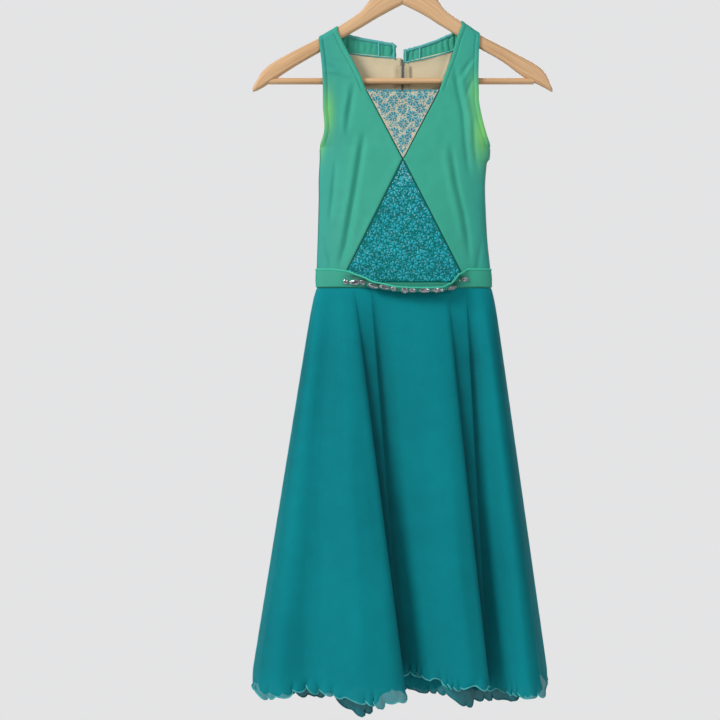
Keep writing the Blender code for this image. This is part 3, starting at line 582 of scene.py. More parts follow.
# %% Cloth helper
def grid_normals(rows):
    """The inward unit normal at each point of a grid."""
    last_row, last_column = len(rows) - 1, len(rows[0]) - 1
    normals = []
    for r in range(last_row + 1):
        line = []
        for c in range(last_column + 1):
            down = rows[min(r + 1, last_row)][c] - rows[max(r - 1, 0)][c]
            along = rows[r][min(c + 1, last_column)] - rows[r][max(c - 1, 0)]
            line.append(along.cross(down).normalized())
        normals.append(line)
    return normals


def cloth_map(rows):
    """Each point's place on the flat cloth, in metres."""
    flat = [[None] * len(rows[0]) for _ in rows]
    down = [0.0] * len(rows[0])
    for r, row in enumerate(rows):
        along = [0.0]
        for one, two in zip(row, row[1:]):
            along.append(along[-1] + (two - one).length)
        for c in range(len(row)):
            if r:
                down[c] += (row[c] - rows[r - 1][c]).length
            flat[r][c] = (along[c] - along[-1] / 2, -down[c])
    return flat


def new_piece(name, bm, finishes, smooth=True):
    """An object at the origin from a bmesh, with one or more finishes, riding on the dress."""
    mesh = bpy.data.meshes.new(name)
    bm.to_mesh(mesh)
    bm.free()
    if smooth:
        mesh.shade_smooth()
    for finish in (finishes if isinstance(finishes, tuple) else (finishes,)):
        mesh.materials.append(MATERIALS[finish])
    piece = bpy.data.objects.new(name, mesh)
    bpy.context.scene.collection.objects.link(piece)
    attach(piece, DRESS)
    return piece


def cloth(name, rows, finish, thickness=0.0, way=0, node=None):
    """A cloth piece that replaces its node. Returns the piece and prints the area of its outer face."""
    bm = bmesh.new()
    layer = bm.loops.layers.uv.new("cloth")
    flat = cloth_map(rows)
    sides = [[[bm.verts.new(place) for place in row] for row in rows]]
    if thickness:
        normals = grid_normals(rows)
        inner = []
        for row, line in zip(rows, normals):
            places = [place + normal * thickness * MM for place, normal in zip(row, line)]
            if way:
                for place in places:
                    place.y = way * max(way * place.y, SEAM * 0.5 * MM)
            inner.append([bm.verts.new(place) for place in places])
        sides.append(inner)
    last_row, last_column = len(rows) - 1, len(rows[0]) - 1

    def face(corners):
        made = bm.faces.new([sides[s][r][c] for s, r, c in corners])
        for loop, (_, r, c) in zip(made.loops, corners):
            loop[layer].uv = flat[r][c]
        return made

    area = 0.0
    for r in range(last_row):
        for c in range(last_column):
            area += face(((0, r, c), (0, r + 1, c), (0, r + 1, c + 1), (0, r, c + 1))).calc_area()
            if thickness:
                face(((1, r, c), (1, r, c + 1), (1, r + 1, c + 1), (1, r + 1, c)))
    if thickness:
        rim = [(0, c) for c in range(last_column)]
        rim += [(r, last_column) for r in range(last_row)]
        rim += [(last_row, c) for c in range(last_column, 0, -1)]
        rim += [(r, 0) for r in range(last_row, 0, -1)]
        for (r, c), (i, j) in zip(rim, rim[1:] + rim[:1]):
            face(((0, r, c), (0, i, j), (1, i, j), (1, r, c)))
    piece = new_piece(name, bm, finish)
    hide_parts(node or name.replace("cloth_", ""))
    down = max(-row[c][1] for row in flat[-1:] for c in range(last_column + 1))
    across = max(row[-1][0] - row[0][0] for row in flat)
    print(name, "flat", round(across, 3), "x", round(down, 3), "area", round(area, 4), "tris", len(piece.data.polygons) * 2)
    return piece


def tube(bm, points, radius, segments=6, closed=False, finish=0):
    """A thread or piping along points, as part of a joined mesh."""
    rings = []
    count = len(points)
    side = None
    for number, place in enumerate(points):
        after = points[(number + 1) % count] if closed or number < count - 1 else place
        before = points[number - 1] if closed or number else place
        along = (after - before).normalized()
        if side is None:
            side = along.orthogonal().normalized()
        side = (side - along * side.dot(along)).normalized()
        up = along.cross(side)
        ring = []
        for step in range(segments):
            turn = 2 * math.pi * step / segments
            ring.append(bm.verts.new(place + (side * math.cos(turn) + up * math.sin(turn)) * radius * MM))
        rings.append(ring)
    pairs = list(zip(rings, rings[1:]))
    if closed:
        pairs.append((rings[-1], rings[0]))
    for one, two in pairs:
        for step in range(segments):
            following = (step + 1) % segments
            bm.faces.new((one[step], one[following], two[following], two[step])).material_index = finish
    if not closed:
        bm.faces.new(rings[0][::-1]).material_index = finish
        bm.faces.new(rings[-1]).material_index = finish


# %% [markdown]
# Creases are placed one by one from the picture: each is a line on the front or the back with a
# half width and a height, below 0 for a trough and above 0 for a ridge. The elastic turned into the
# neck and the armholes shows as a soft roll along the edge with a stitched groove beside it.

# %% Creases of the bodice
# way, half width, height, then the x and drop of each point of the line
CREASES = (
    (-1, 3.2, -1.5, (-72, 220), (-79, 259), (-82, 284)),
    (-1, 3.6, 0.9, (-80, 218), (-87, 262), (-89, 292)),
    (-1, 3.8, -1.9, (-57, 291), (-69, 368), (-84, 454), (-92, 482)),
    (-1, 4.5, 1.1, (-66, 296), (-78, 370), (-93, 452)),
    (-1, 3.0, -1.2, (-99, 330), (-102, 372), (-108, 420)),
    (-1, 3.4, -1.6, (70.7, 308), (80.4, 368), (90.7, 411), (95.2, 440), (98, 476)),
    (-1, 4.2, 1.0, (62, 316), (71, 368), (82, 414), (87, 452)),
    (-1, 3.2, -1.6, (75.9, 191), (81.8, 225), (89.2, 259), (92.2, 303), (98.1, 349)),
    (-1, 3.6, 0.9, (84, 196), (90, 228), (97, 262), (100, 300)),
    (-1, 2.4, -1.1, (104, 269), (105.5, 309), (110, 340)),
    (-1, 2.2, -1.2, (-117, 188), (-100, 191), (-84, 199)),
    (-1, 2.4, 1.0, (-117, 194), (-101, 197), (-82, 206)),
    (-1, 2.0, -0.9, (-116, 201), (-98, 204), (-78, 211)),
    (-1, 2.2, -0.9, (-112, 181), (-96, 183), (-82, 188)),
    (-1, 2.4, -1.2, (109, 172), (96, 188), (82, 208)),
    (-1, 2.2, 0.8, (110, 180), (99, 194), (86, 216)),
    (-1, 2.4, -1.0, (110, 200), (100, 216), (92, 236)),
    (-1, 3.0, -1.0, (-118, 440), (-108, 470), (-104, 500)),
    (-1, 3.0, -1.0, (116, 446), (112, 474), (108, 502)),
    (1, 4.0, -1.6, (-70, 232), (-78, 300), (-86, 372), (-98, 440)),
    (1, 4.6, 1.0, (-80, 236), (-88, 306), (-97, 380)),
    (1, 3.4, -1.4, (-34, 330), (-40, 392), (-52, 458), (-58, 500)),
    (1, 4.0, 0.9, (-25, 342), (-30, 396), (-40, 462)),
    (1, 4.0, -1.6, (62, 236), (74, 304), (84, 372), (92, 448)),
    (1, 4.6, 1.0, (74, 240), (85, 308), (95, 378)),
    (1, 3.4, -1.3, (28, 336), (36, 394), (44, 456), (52, 502)),
    (1, 3.8, 0.8, (18, 346), (24, 402), (32, 470)),
    (1, 2.2, -1.1, (-117, 186), (-104, 190), (-90, 198)),
    (1, 2.2, -1.1, (110, 176), (98, 190), (80, 206)),
    (1, 2.4, -1.0, (106, 262), (109, 306), (112, 342)),
)
FADE_LENGTH = 22.0
CREASE_SCALE = 1.5
CREASE_WIDTH = 1.3


def crease_height(x, drop, way):
    """How far the cloth stands out at a place from its own form, in millimetres."""
    height = 0.0
    for side, half_width, tall, *line in CREASES:
        if side != way:
            continue
        half_width *= CREASE_WIDTH
        reach = 3.2 * half_width
        best = None
        gone = 0.0
        total = sum(math.dist(one, two) for one, two in zip(line, line[1:]))
        for one, two in zip(line, line[1:]):
            length = math.dist(one, two)
            step = ((x - one[0]) * (two[0] - one[0]) + (drop - one[1]) * (two[1] - one[1])) / length**2
            step = min(max(step, 0.0), 1.0)
            off = math.hypot(x - one[0] - step * (two[0] - one[0]), drop - one[1] - step * (two[1] - one[1]))
            if best is None or off < best[0]:
                best = (off, gone + step * length)
            gone += length
        if best[0] < reach:
            fade = min(best[1] / FADE_LENGTH, (total - best[1]) / FADE_LENGTH, 1.0)
            height += CREASE_SCALE * tall * math.exp(-((best[0] / half_width) ** 2)) * (0.25 + 0.75 * fade)
    slow = noise.noise(Vector((x / 38, drop / 55, way * 7.3)))
    fine = noise.noise(Vector((x / 13, drop / 19, way * 3.1 + 40)))
    return height + 0.9 * slow + 0.3 * fine


def edge_roll(distance):
    """The turned elastic edge: a roll, then the groove that its stitches pull."""
    return 0.55 * math.exp(-(((distance - 2.8) / 2.6) ** 2)) - 0.55 * math.exp(-(((distance - 6.8) / 1.2) ** 2))


print("creases:", len(CREASES))

# %% [markdown]
# Each side panel runs from over the hanger's arm down to the waist, strap and side in one piece.
# A row of the table gives its armhole or side edge and its neck or seam edge.

# %% Side panels
# outer x, outer drop, inner x, inner drop
FRONT_LEFT = (
    (-124.0, 153.0, -96.5, 137.0), (-121.8, 169.0, -86.0, 159.0), (-119.5, 190.0, -72.5, 184.0),
    (-118.4, 209.0, -61.5, 206.0), (-118.0, 227.0, -54.8, 223.5), (-117.7, 251.6, -45.0, 242.0),
    (-115.7, 277.6, -30.3, 270.0), (-117.5, 292.0, -20.5, 288.7), (-121.4, 303.4, -14.6, 300.0),
    (-122.4, 311.0, -8.0, 312.4), (-122.4, 327.1, -0.4, 327.1), (-123.9, 357.0, -15.2, 357.0),
    (-123.9, 386.3, -30.0, 386.3), (-124.6, 415.0, -44.4, 415.0), (-125.4, 445.5, -59.7, 445.5),
    (-126.5, 478.0, -76.0, 478.0), (-126.8, 508.8, -91.4, 508.8),
)
FRONT_RIGHT = (
    (113.8, 147.6, 87.3, 129.0), (112.6, 160.0, 79.0, 149.0), (111.9, 180.0, 72.0, 175.0),
    (111.4, 206.0, 61.0, 205.0), (111.9, 227.0, 53.9, 225.0), (112.3, 243.0, 45.2, 241.5),
    (117.4, 269.4, 30.5, 269.4), (123.5, 291.0, 19.2, 290.8), (129.2, 309.3, 9.4, 309.3),
    (124.8, 327.1, 0.4, 327.1), (121.8, 357.0, 15.4, 357.0), (121.8, 386.3, 30.5, 386.3),
    (123.3, 415.0, 45.1, 415.0), (124.8, 445.5, 60.8, 445.5), (127.9, 478.0, 77.5, 478.0),
    (130.2, 508.8, 93.5, 508.8),
)
BACK_LEFT = (
    (-124.0, 153.0, -96.5, 137.0), (-121.8, 169.0, -89.0, 149.0), (-119.5, 190.0, -86.8, 168.5),
    (-118.4, 209.0, -80.0, 185.0), (-118.0, 227.0, -72.0, 204.0), (-117.7, 251.6, -60.0, 230.0),
    (-115.7, 277.6, -44.0, 262.0), (-117.5, 292.0, -34.0, 281.0), (-121.4, 303.4, -26.0, 296.0),
    (-122.4, 311.0, -18.0, 311.0), (-122.4, 327.1, -9.0, 327.0), (-123.0, 341.0, -1.5, 341.0),
    (-123.9, 386.3, -1.5, 386.3), (-125.4, 445.5, -1.5, 445.5), (-126.8, 508.8, -1.5, 508.8),
)
BACK_RIGHT = (
    (113.8, 147.6, 87.3, 129.0), (112.6, 160.0, 76.5, 141.0), (111.9, 180.0, 72.3, 166.0),
    (111.4, 206.0, 66.0, 184.0), (111.9, 227.0, 59.0, 204.0), (112.3, 243.0, 51.0, 226.0),
    (117.4, 269.4, 37.0, 262.0), (123.5, 291.0, 27.0, 284.0), (129.2, 309.3, 16.0, 307.0),
    (124.8, 327.1, 8.0, 327.0), (122.8, 341.0, 1.5, 341.0), (121.8, 386.3, 1.5, 386.3),
    (124.8, 445.5, 1.5, 445.5), (130.2, 508.8, 1.5, 508.8),
)
PANEL_COLUMNS = 72
SIDE_LINE = smooth_rows(SIDE_SEAMS, 8)
PANEL_STEPS = 8
ROUND_STEPS = 14


def panel_rows(table, way, side):
    """Fine rows of a panel: over the arm's round edge first, then down the body."""
    spread = []
    for number in range(PANEL_COLUMNS + 1):
        share = number / PANEL_COLUMNS
        spread.append(0.7 * share + 0.3 * share * share)
    rows = []
    outer_x, outer_drop, inner_x, inner_drop = table[0]
    for step in range(ROUND_STEPS, 0, -1):
        angle = math.radians(89) * step / ROUND_STEPS
        line = []
        for share in spread:
            x = outer_x + (inner_x - outer_x) * share
            drop = outer_drop + (inner_drop - outer_drop) * share
            roll = 0.5 * edge_roll(abs(inner_x - outer_x) * min(share, 1 - share))
            reach = SHOULDER_RADIUS + roll
            line.append(point(x, way * reach * math.cos(angle), drop - reach * math.sin(angle)))
        rows.append(line)
    smooth = smooth_rows(table, PANEL_STEPS)
    straight = []
    for one, two in zip(table, table[1:]):
        for step in range(PANEL_STEPS):
            straight.append([a + (b - a) * step / PANEL_STEPS for a, b in zip(one, two)])
    straight.append(list(table[-1]))
    for (outer_x, outer_drop, _, _), (_, _, inner_x, inner_drop) in zip(smooth, straight):
        if outer_drop >= UNDERARM_DROP:
            outer_x = read(SIDE_LINE, outer_drop, 1 if side < 0 else 2)
        wide = math.hypot(inner_x - outer_x, inner_drop - outer_drop)
        seam = abs(read(SIDE_SEAMS, outer_drop, 1 if side < 0 else 2))
        seam = abs(outer_x) if outer_drop >= UNDERARM_DROP else max(seam, abs(outer_x))
        neck = min(max((232.0 - inner_drop) / 12.0, 0.0), 1.0) if way < 0 else min(max((200.0 - inner_drop) / 12.0, 0.0), 1.0)
        arm = min(max((UNDERARM_DROP + 4 - outer_drop) / 8.0, 0.0), 1.0)
        line = []
        for share in spread:
            x = outer_x + (inner_x - outer_x) * share
            drop = outer_drop + (inner_drop - outer_drop) * share
            inside = min(wide * share / 9.0, wide * (1 - share) / 9.0, 1.0)
            out = crease_height(x, drop, way) * inside * min((drop - 130) / 60, 1.0)
            out += arm * edge_roll(wide * share) + neck * edge_roll(wide * (1 - share))
            out -= (1 - neck) * 0.7 * math.exp(-((wide * (1 - share) / 1.4) ** 2))
            line.append(body_place(x, drop, way, out, seam))
        rows.append(line)
    if side * way < 0:
        return [row[::-1] for row in rows]
    return rows


PANELS = (
    # name, table, way, side, flat width and length, flat area
    ("front_panel_left", FRONT_LEFT, -1, -1, (0.130, 0.375), 0.0293),
    ("front_panel_right", FRONT_RIGHT, -1, 1, (0.130, 0.385), 0.0289),
    ("back_panel_left", BACK_LEFT, 1, -1, (0.131, 0.375), 0.0356),
    ("back_panel_right", BACK_RIGHT, 1, 1, (0.134, 0.385), 0.0369),
)
for name, table, way, side, flat, area in PANELS:
    piece = cloth("cloth_" + name, panel_rows(table, way, side), "jersey", JERSEY_THICK, way)

# %% [markdown]
# The two lace insets are a fine ground with flower heads, sprigs and sequins worked on it. The
# ground is a cloth piece. The motifs follow it point by point: a petal is a low lens of a few
# faces, and all petals of one inset are joined in one piece. Flowers stand in staggered rows
# with a little disorder, as on a common stretch lace, and a petal that would cross a seam is
# left out.

# %% Lace insets
LACE_UPPER = ((225.0, -53.6, 53.3), (325.0, -1.0, 1.0))
LACE_LOWER = ((329.0, -0.8, 0.8), (508.8, -91.0, 93.1))
NECK_DIP = 3.0
LACE_THICK = 0.8


def lace_out(x, drop):
    slow = noise.noise(Vector((x / 26, drop / 40, 90.0)))
    wave = math.sin(x / 17.0 + 0.6) * 0.5 * min(max((drop - 360) / 90, 0.0), 1.0)
    return -0.3 + 0.8 * slow + wave


def inset_edges(table, drop):
    (top, left_top, right_top), (foot, left_foot, right_foot) = table
    fall = (drop - top) / (foot - top)
    return left_top + (left_foot - left_top) * fall, right_top + (right_foot - right_top) * fall


def inset_rows(table, count, columns, dip=0.0):
    top, foot = table[0][0], table[1][0]
    rows = []
    for r in range(count + 1):
        level = top + (foot - top) * r / count
        left, right = inset_edges(table, level)
        line = []
        for c in range(columns + 1):
            across = c / columns
            drop = level + dip * math.sin(math.pi * across) * (1 - r / count) ** 3
            x = left + (right - left) * across
            inside = min(across, 1 - across) * (right - left) / 6
            line.append(body_place(x, drop, -1, lace_out(x, drop) * min(inside, 1.0)))
        rows.append(line)
    return rows


def lace_point(x, drop, table, lift):
    left, right = inset_edges(table, drop)
    inside = min(max(min(x - left, right - x) / 6, 0.0), 1.0)
    return body_place(x, drop, -1, lace_out(x, drop) * inside + lift)


def lens(bm, table, x, drop, angle, length, width, lift, finish=0):
    """A petal or leaf lying on the lace, from its root along an angle. It may not cross a seam."""
    ring = []
    for number in range(8):
        turn = 2 * math.pi * number / 8
        along = length * (0.5 + 0.5 * math.cos(turn))
        across = width / 2 * math.sin(turn) * (0.75 + 0.35 * along / length)
        place = (
            x + along * math.cos(angle) - across * math.sin(angle),
            drop + along * math.sin(angle) + across * math.cos(angle),
        )
        left, right = inset_edges(table, place[1])
        if not (left + 0.9 < place[0] < right - 0.9 and table[0][0] - 1.5 < place[1] < table[1][0] - 0.6):
            return False
        ring.append(place)
    rim = [bm.verts.new(lace_point(*place, table, 0.12)) for place in ring]
    middle = (x + length * 0.55 * math.cos(angle), drop + length * 0.55 * math.sin(angle))
    top = bm.verts.new(lace_point(*middle, table, lift))
    for one, two in zip(rim, rim[1:] + rim[:1]):
        bm.faces.new((one, top, two)).material_index = finish
    return True


def flower(bm, table, x, drop, size, turn, petals):
    for number in range(petals):
        angle = turn + 2 * math.pi * number / petals
        reach = size * 0.13
        lens(bm, table, x + reach * math.cos(angle), drop + reach * math.sin(angle), angle, size * 0.38, size * 0.22, 0.75)
        between = angle + math.pi / petals
        reach = size * 0.36
        place = (x + reach * math.cos(between), drop + reach * math.sin(between))
        lens(bm, table, *place, between, size * 0.17, size * 0.09, 0.5, 1)
    for number in range(3):
        lens(bm, table, x - size * 0.05, drop, 2.1 * number, size * 0.12, size * 0.12, 1.0, 1)


def left_of(table):
    return table[0][1]


def right_of(table):
    return table[0][2]


def work_lace(name, table, pitch, rise, size, petals, sprig_pitch, sequins, finishes, seed, edge=False):
    """Flowers in staggered rows, sprigs between them and sequins over all."""
    dice = random.Random(seed)
    bm = bmesh.new()
    heads = []
    top, foot = table[0][0], table[1][0]
    for row in range(int((foot - top) / rise) + 1):
        for column in range(-5, 6):
            x = (column + 0.5 * (row % 2)) * pitch + dice.uniform(-2.0, 2.0)
            drop = top + 5 + row * rise + dice.uniform(-1.6, 1.6)
            left, right = inset_edges(table, drop)
            if left - 3 < x < right + 3:
                heads.append((x, drop))
                flower(bm, table, x, drop, size * dice.uniform(0.9, 1.1), dice.uniform(0, 1), petals)
    steps = int((foot - top) / sprig_pitch)
    for row in range(steps + 1):
        for column in range(-int(100 / sprig_pitch), int(100 / sprig_pitch) + 1):
            x = column * sprig_pitch + dice.uniform(-1, 1) * sprig_pitch * 0.4
            drop = top + row * sprig_pitch + dice.uniform(-1, 1) * sprig_pitch * 0.4
            if min(math.dist((x, drop), head) for head in heads) > size * 0.5:
                angle = dice.uniform(0, 2 * math.pi)
                lens(bm, table, x, drop, angle, dice.uniform(2.4, 4.2), dice.uniform(0.9, 1.6), 0.5, dice.choice((0, 0, 1)))
    for _ in range(sequins):
        drop = dice.uniform(top, foot)
        left, right = inset_edges(table, drop)
        lens(bm, table, dice.uniform(left, right), drop, dice.uniform(0, 6), 1.6, 1.6, dice.uniform(0.8, 1.4), 2)
    if edge:
        for number in range(int((right_of(table) - left_of(table)) / 2.1)):
            x = left_of(table) + 2.1 * (number + 0.5)
            lens(bm, table, x, top + 2.6 + dice.uniform(-0.6, 0.6), dice.uniform(3.9, 5.5), 3.4, 1.5, 0.5, number % 3 // 2)
    print(name, "flowers:", len(heads), "faces:", len(bm.faces))
    return new_piece(name, bm, finishes, smooth=False)


upper = cloth("cloth_lace_inset_upper", inset_rows(LACE_UPPER, 44, 40, NECK_DIP), "lace_ivory", LACE_THICK)
upper_work = work_lace(
    "lace_work_upper", LACE_UPPER, 27.0, 11.5, 15.5, 8, 2.6, 60, ("lace_blue", "lace_teal", "sequin"), 11, True
)
lower = cloth("cloth_lace_inset_lower", inset_rows(LACE_LOWER, 64, 56), "lace_ground", LACE_THICK)
lower_work = work_lace(
    "lace_work_lower", LACE_LOWER, 26.0, 13.5, 15.5, 7, 2.4, 380, ("lace_teal", "lace_deep", "sequin"), 23
)

# %% [markdown]
# The back is open above the zip: a sheer nude yoke fills each side between the back panel and
# the zip, and a gathered band in two halves finishes the neck. Each band half is puckered where
# it is sewn down at its ends, so its grid gets ripples that are strongest there.

# %% Yokes and neck bands
# x, upper drop, lower drop, along the band from the strap to the zip
BAND_LEFT = ((-94.5, 137.0, 165.5), (-86.0, 140.0, 167.5), (-60.0, 147.0, 170.5), (-36.0, 151.0, 173.0), (-9.9, 155.4, 176.0))
BAND_RIGHT = ((81.0, 134.5, 161.5), (71.4, 140.0, 165.5), (50.0, 150.0, 171.5), (26.0, 158.0, 177.5), (1.9, 164.0, 182.0))


def yoke_rows(table, side, band, columns=26):
    edge = table[2:-4]
    first, last = edge[0][3], edge[-1][3]
    zip_top = band[-1][2] - 1.2
    line_out = tuple((row[3], row[2]) for row in edge)
    rows = []
    for number in range(49):
        fall = number / 48
        start = first - 2.8 + (last - first + 2.8) * fall
        near_zip = zip_top + (last - zip_top) * fall
        outer = read(line_out, start) + side * 3.0
        line = []
        for c in range(columns + 1):
            share = c / columns
            x = outer + (side * 1.5 - outer) * share
            drop = start + (near_zip - start) * share
            soft = min(share, 1 - share, 0.2) * 5
            slack = 0.9 * noise.noise(Vector((x / 18, drop / 46, 12.0))) * soft
            tucked = max(1 - share * 12, 0.0) + max(1 - fall * 12, 0.0)
            line.append(body_place(x, drop, 1, slack - 1.9 * min(tucked, 1.0)))
        rows.append(line)
    return [row[::-1] for row in rows] if side < 0 else rows


def band_rows(table, side, columns=120, count=16):
    start_x, end_x = table[0][0], table[-1][0]
    key = tuple((abs(x - start_x), top, foot) for x, top, foot in table)
    rows = []
    for r in range(count + 1):
        fall = r / count
        line = []
        for c in range(columns + 1):
            share = c / columns
            x = start_x + (end_x - start_x) * share
            pinch = abs(2 * share - 1) ** 2.2
            top, foot = read(key, abs(x - start_x), 1), read(key, abs(x - start_x), 2)
            middle = (top + foot) / 2
            drop = top * (1 - fall) + foot * fall
            drop += (middle - drop) * 0.10 * pinch + 3.2 * pinch * noise.noise(Vector((share * 22, 3.0, side)))
            gather = math.sin(2 * math.pi * 9 * share + 2.2 * noise.noise(Vector((share * 6, fall * 1.5, side))))
            ripple = gather * (0.15 + 0.85 * pinch) * math.sin(math.pi * min(fall * 0.9 + 0.08, 1.0))
            soft = 0.5 * noise.noise(Vector((x / 14, drop / 9, 5.0)))
            tucked = 1.6 * max(1 - share * 9, 0.0)
            line.append(body_place(x, drop, 1, max(2.0 * ripple + soft, -0.5) + edge_roll(fall * 26) * 0.5 - tucked))
        rows.append(line)
    return [row[::-1] for row in rows] if side < 0 else rows


for side, word, table, band in ((-1, "left", BACK_LEFT, BAND_LEFT), (1, "right", BACK_RIGHT, BAND_RIGHT)):
    yoke = cloth("cloth_mesh_yoke_" + word, yoke_rows(table, side, band), "nude_mesh", 0.5)
    rows = band_rows(band, side)
    half = cloth("cloth_neck_band_" + word, rows, "belt_jersey", 0.9)
    bm = bmesh.new()
    upper_edge = [place - Vector((0, 0.4 * MM, 0)) for place in rows[0]]
    lower_edge = [place - Vector((0, 2.7 * MM, 0)) for place in rows[-1]]
    tube(bm, upper_edge, 2.5, 8)
    tube(bm, lower_edge, 1.1, 6, finish=1)
    for share in (0.70, 0.97):
        column = round(share * (len(rows[0]) - 1))
        column = column if side > 0 else len(rows[0]) - 1 - column
        tube(bm, [row[column] - Vector((0, 1.8 * MM, 0)) for row in rows], 1.7, 6)
    binding = new_piece("neck_binding_" + word, bm, ("neck_binding", "edge_thread"))

# %% [markdown]
# Round the waist lies an inner band, and over it the belt. At the sides and the back the belt
# lies flat, and at the front its upper edge has sagged forward, so that it stands out almost
# level and shows its shaded outer face with the stones along it.

# %% Waistband and belt
BELT_TOP_DROP = 489.5
BELT_FOOT_DROP = 515.5
# x, how far the upper edge has sagged
BELT_SAG = (
    (-107.0, 0.0), (-81.0, 0.12), (-65.0, 0.34), (-39.5, 0.73), (-8.0, 0.96), (12.0, 1.0),
    (34.5, 1.0), (55.0, 0.98), (69.4, 0.77), (83.0, 0.27), (97.0, 0.0),
)
# way out from the body and drop, from the seam to the upper edge, where it has sagged
SAGGED_BELT = smooth_rows(((0.0, 517.6), (6.0, 521.5), (12.5, 524.0), (18.5, 522.5), (21.5, 517.8)), 6)


def waist_ring(angle, drop, out):
    """A place on the flattened waist. Angle 0 is the right side seam, and the front is below 0."""
    right, left = read(SIDE_SEAMS, drop, 2), -read(SIDE_SEAMS, drop, 1)
    wide = right if math.cos(angle) > 0 else left
    deep = read(BODY_DEPTH, drop)
    x = wide * math.copysign(abs(math.cos(angle)) ** (2 / 3), math.cos(angle))
    depth = deep * math.copysign(abs(math.sin(angle)) ** (2 / 3), math.sin(angle))
    slope_x = math.copysign((x / wide) ** 2 / wide, x)
    slope_depth = math.copysign((depth / deep) ** 2 / deep, depth)
    size = math.hypot(slope_x, slope_depth)
    return x + out * slope_x / size, depth + out * slope_depth / size


def ring_angles(columns, half_opening):
    start = math.radians(-270) + half_opening
    return [start + c / columns * (2 * math.pi - 2 * half_opening) for c in range(columns + 1)]


def belt_sag(x):
    """The sag at an x, on a smooth curve through the table."""
    for low, high in zip(BELT_SAG, BELT_SAG[1:]):
        if low[0] <= x <= high[0]:
            share = (x - low[0]) / (high[0] - low[0])
            soft = share * share * (3 - 2 * share)
            return low[1] + (high[1] - low[1]) * (0.5 * share + 0.5 * soft)
    return 0.0


def belt_place(angle, up, lift=0.0):
    """A place on the belt's outer face. Up is 0 at its seam and 1 at its upper edge."""
    x = waist_ring(angle, BELT_FOOT_DROP, 0.0)[0]
    front = math.sin(angle) < 0
    sag = belt_sag(x) if front else 0.0
    flat_drop = BELT_FOOT_DROP + (BELT_TOP_DROP - BELT_FOOT_DROP) * up
    spot = up * (len(SAGGED_BELT) - 1)
    low = min(int(spot), len(SAGGED_BELT) - 2)
    share = spot - low
    out, sagged = [a + (b - a) * share for a, b in zip(SAGGED_BELT[low], SAGGED_BELT[low + 1])]
    pucker = 0.5 * noise.noise(Vector((x / 16, up * 1.4, 3.0 if front else 8.0))) * (0.3 + up)
    roll = 0.5 * math.sin(math.pi * up)
    drop = flat_drop + (sagged - flat_drop) * sag
    x, depth = waist_ring(angle, min(drop, WAIST_SEAM_DROP), out * sag + 1.8 + pucker + roll * (1 - sag) + lift)
    return point(x, depth, drop)


waist_angles = ring_angles(200, 0.035)
waist_rows = []
for drop in (509.1, 511.5, 514.5, 517.0):
    line = []
    for angle in waist_angles:
        soft = 0.25 * noise.noise(Vector((angle * 9, drop / 6, 2.0)))
        line.append(point(*waist_ring(angle, drop, soft), drop))
    waist_rows.append(line)
waistband = cloth("cloth_inner_waistband", waist_rows, "waist_jersey", 1.0)

belt_angles = ring_angles(300, 0.035)
belt_rows = [[belt_place(angle, 1 - r / 24) for angle in belt_angles] for r in range(25)]
belt = cloth("cloth_belt", belt_rows, "belt_jersey", 1.1, node="belt")
bm = bmesh.new()
tube(bm, [belt_place(angle, 1.0, -0.1) for angle in belt_angles], 1.3, 8)
belt_edge = new_piece("belt_edge_roll", bm, "jersey_edge")

# %% [markdown]
# The skirt has an outer and an under layer of chiffon, each in a front and a back. Its folds are
# listed in tables: where each fold line starts at the waist and where it ends at the hem,
# with its depth there. A smooth curve through the lines gives the flutes. The layers are single
# surfaces, because light passes through real chiffon once for each layer, and the hem ripples
# like lettuce where the thread edge has stretched it.

# %% Skirt folds
# waist x, hem x, hem depth, hem drop; a depth below 0 is towards the viewer
OUTER_FRONT = (
    (-126.8, -224.0, 0.0, 1098.0), (-125.5, -216.0, -26.0, 1106.0), (-119.0, -190.0, -48.0, 1113.0),
    (-104.0, -140.0, -46.0, 1101.0), (-90.0, -72.0, -70.0, 1112.0), (-80.0, -14.0, -68.0, 1119.0),
    (-75.0, 4.0, -57.0, 1106.0), (-71.0, -12.0, -46.0, 1100.0), (-60.0, -13.0, -38.0, 1098.0),
    (-50.0, 0.0, -31.0, 1096.0), (-46.0, -12.0, -21.0, 1092.0), (-40.0, 8.0, -15.0, 1083.0),
    (-15.0, 42.0, -34.0, 1089.0), (25.0, 84.0, -58.0, 1099.0), (54.0, 116.0, -55.0, 1097.0),
    (62.0, 124.0, -45.0, 1094.5), (67.0, 107.0, -36.0, 1094.0), (80.0, 110.0, -29.0, 1096.0),
    (90.0, 126.0, -23.0, 1100.0), (94.0, 112.0, -14.0, 1102.0), (99.0, 130.0, -12.0, 1104.0),
    (106.0, 156.0, -28.0, 1110.0), (115.0, 184.0, -40.0, 1111.5), (126.0, 207.0, -24.0, 1111.0),
    (130.5, 215.5, 0.0, 1098.0),
)
OUTER_BACK = (
    (-126.8, -224.0, 0.0, 1098.0), (-124.0, -212.0, 22.0, 1102.0), (-112.0, -180.0, 40.0, 1106.0),
    (-92.0, -136.0, 22.0, 1100.0), (-72.0, -112.0, 16.0, 1098.0), (-52.0, -76.0, 44.0, 1106.0),
    (-30.0, -38.0, 40.0, 1106.0), (-14.0, -16.0, 18.0, 1100.0), (4.0, 8.0, 18.0, 1099.0),
    (24.0, 36.0, 46.0, 1105.0), (46.0, 76.0, 42.0, 1106.0), (64.0, 100.0, 18.0, 1100.0),
    (82.0, 126.0, 17.0, 1098.0), (104.0, 160.0, 40.0, 1103.0), (122.0, 204.0, 30.0, 1095.0),
    (130.5, 215.5, 0.0, 1098.0),
)
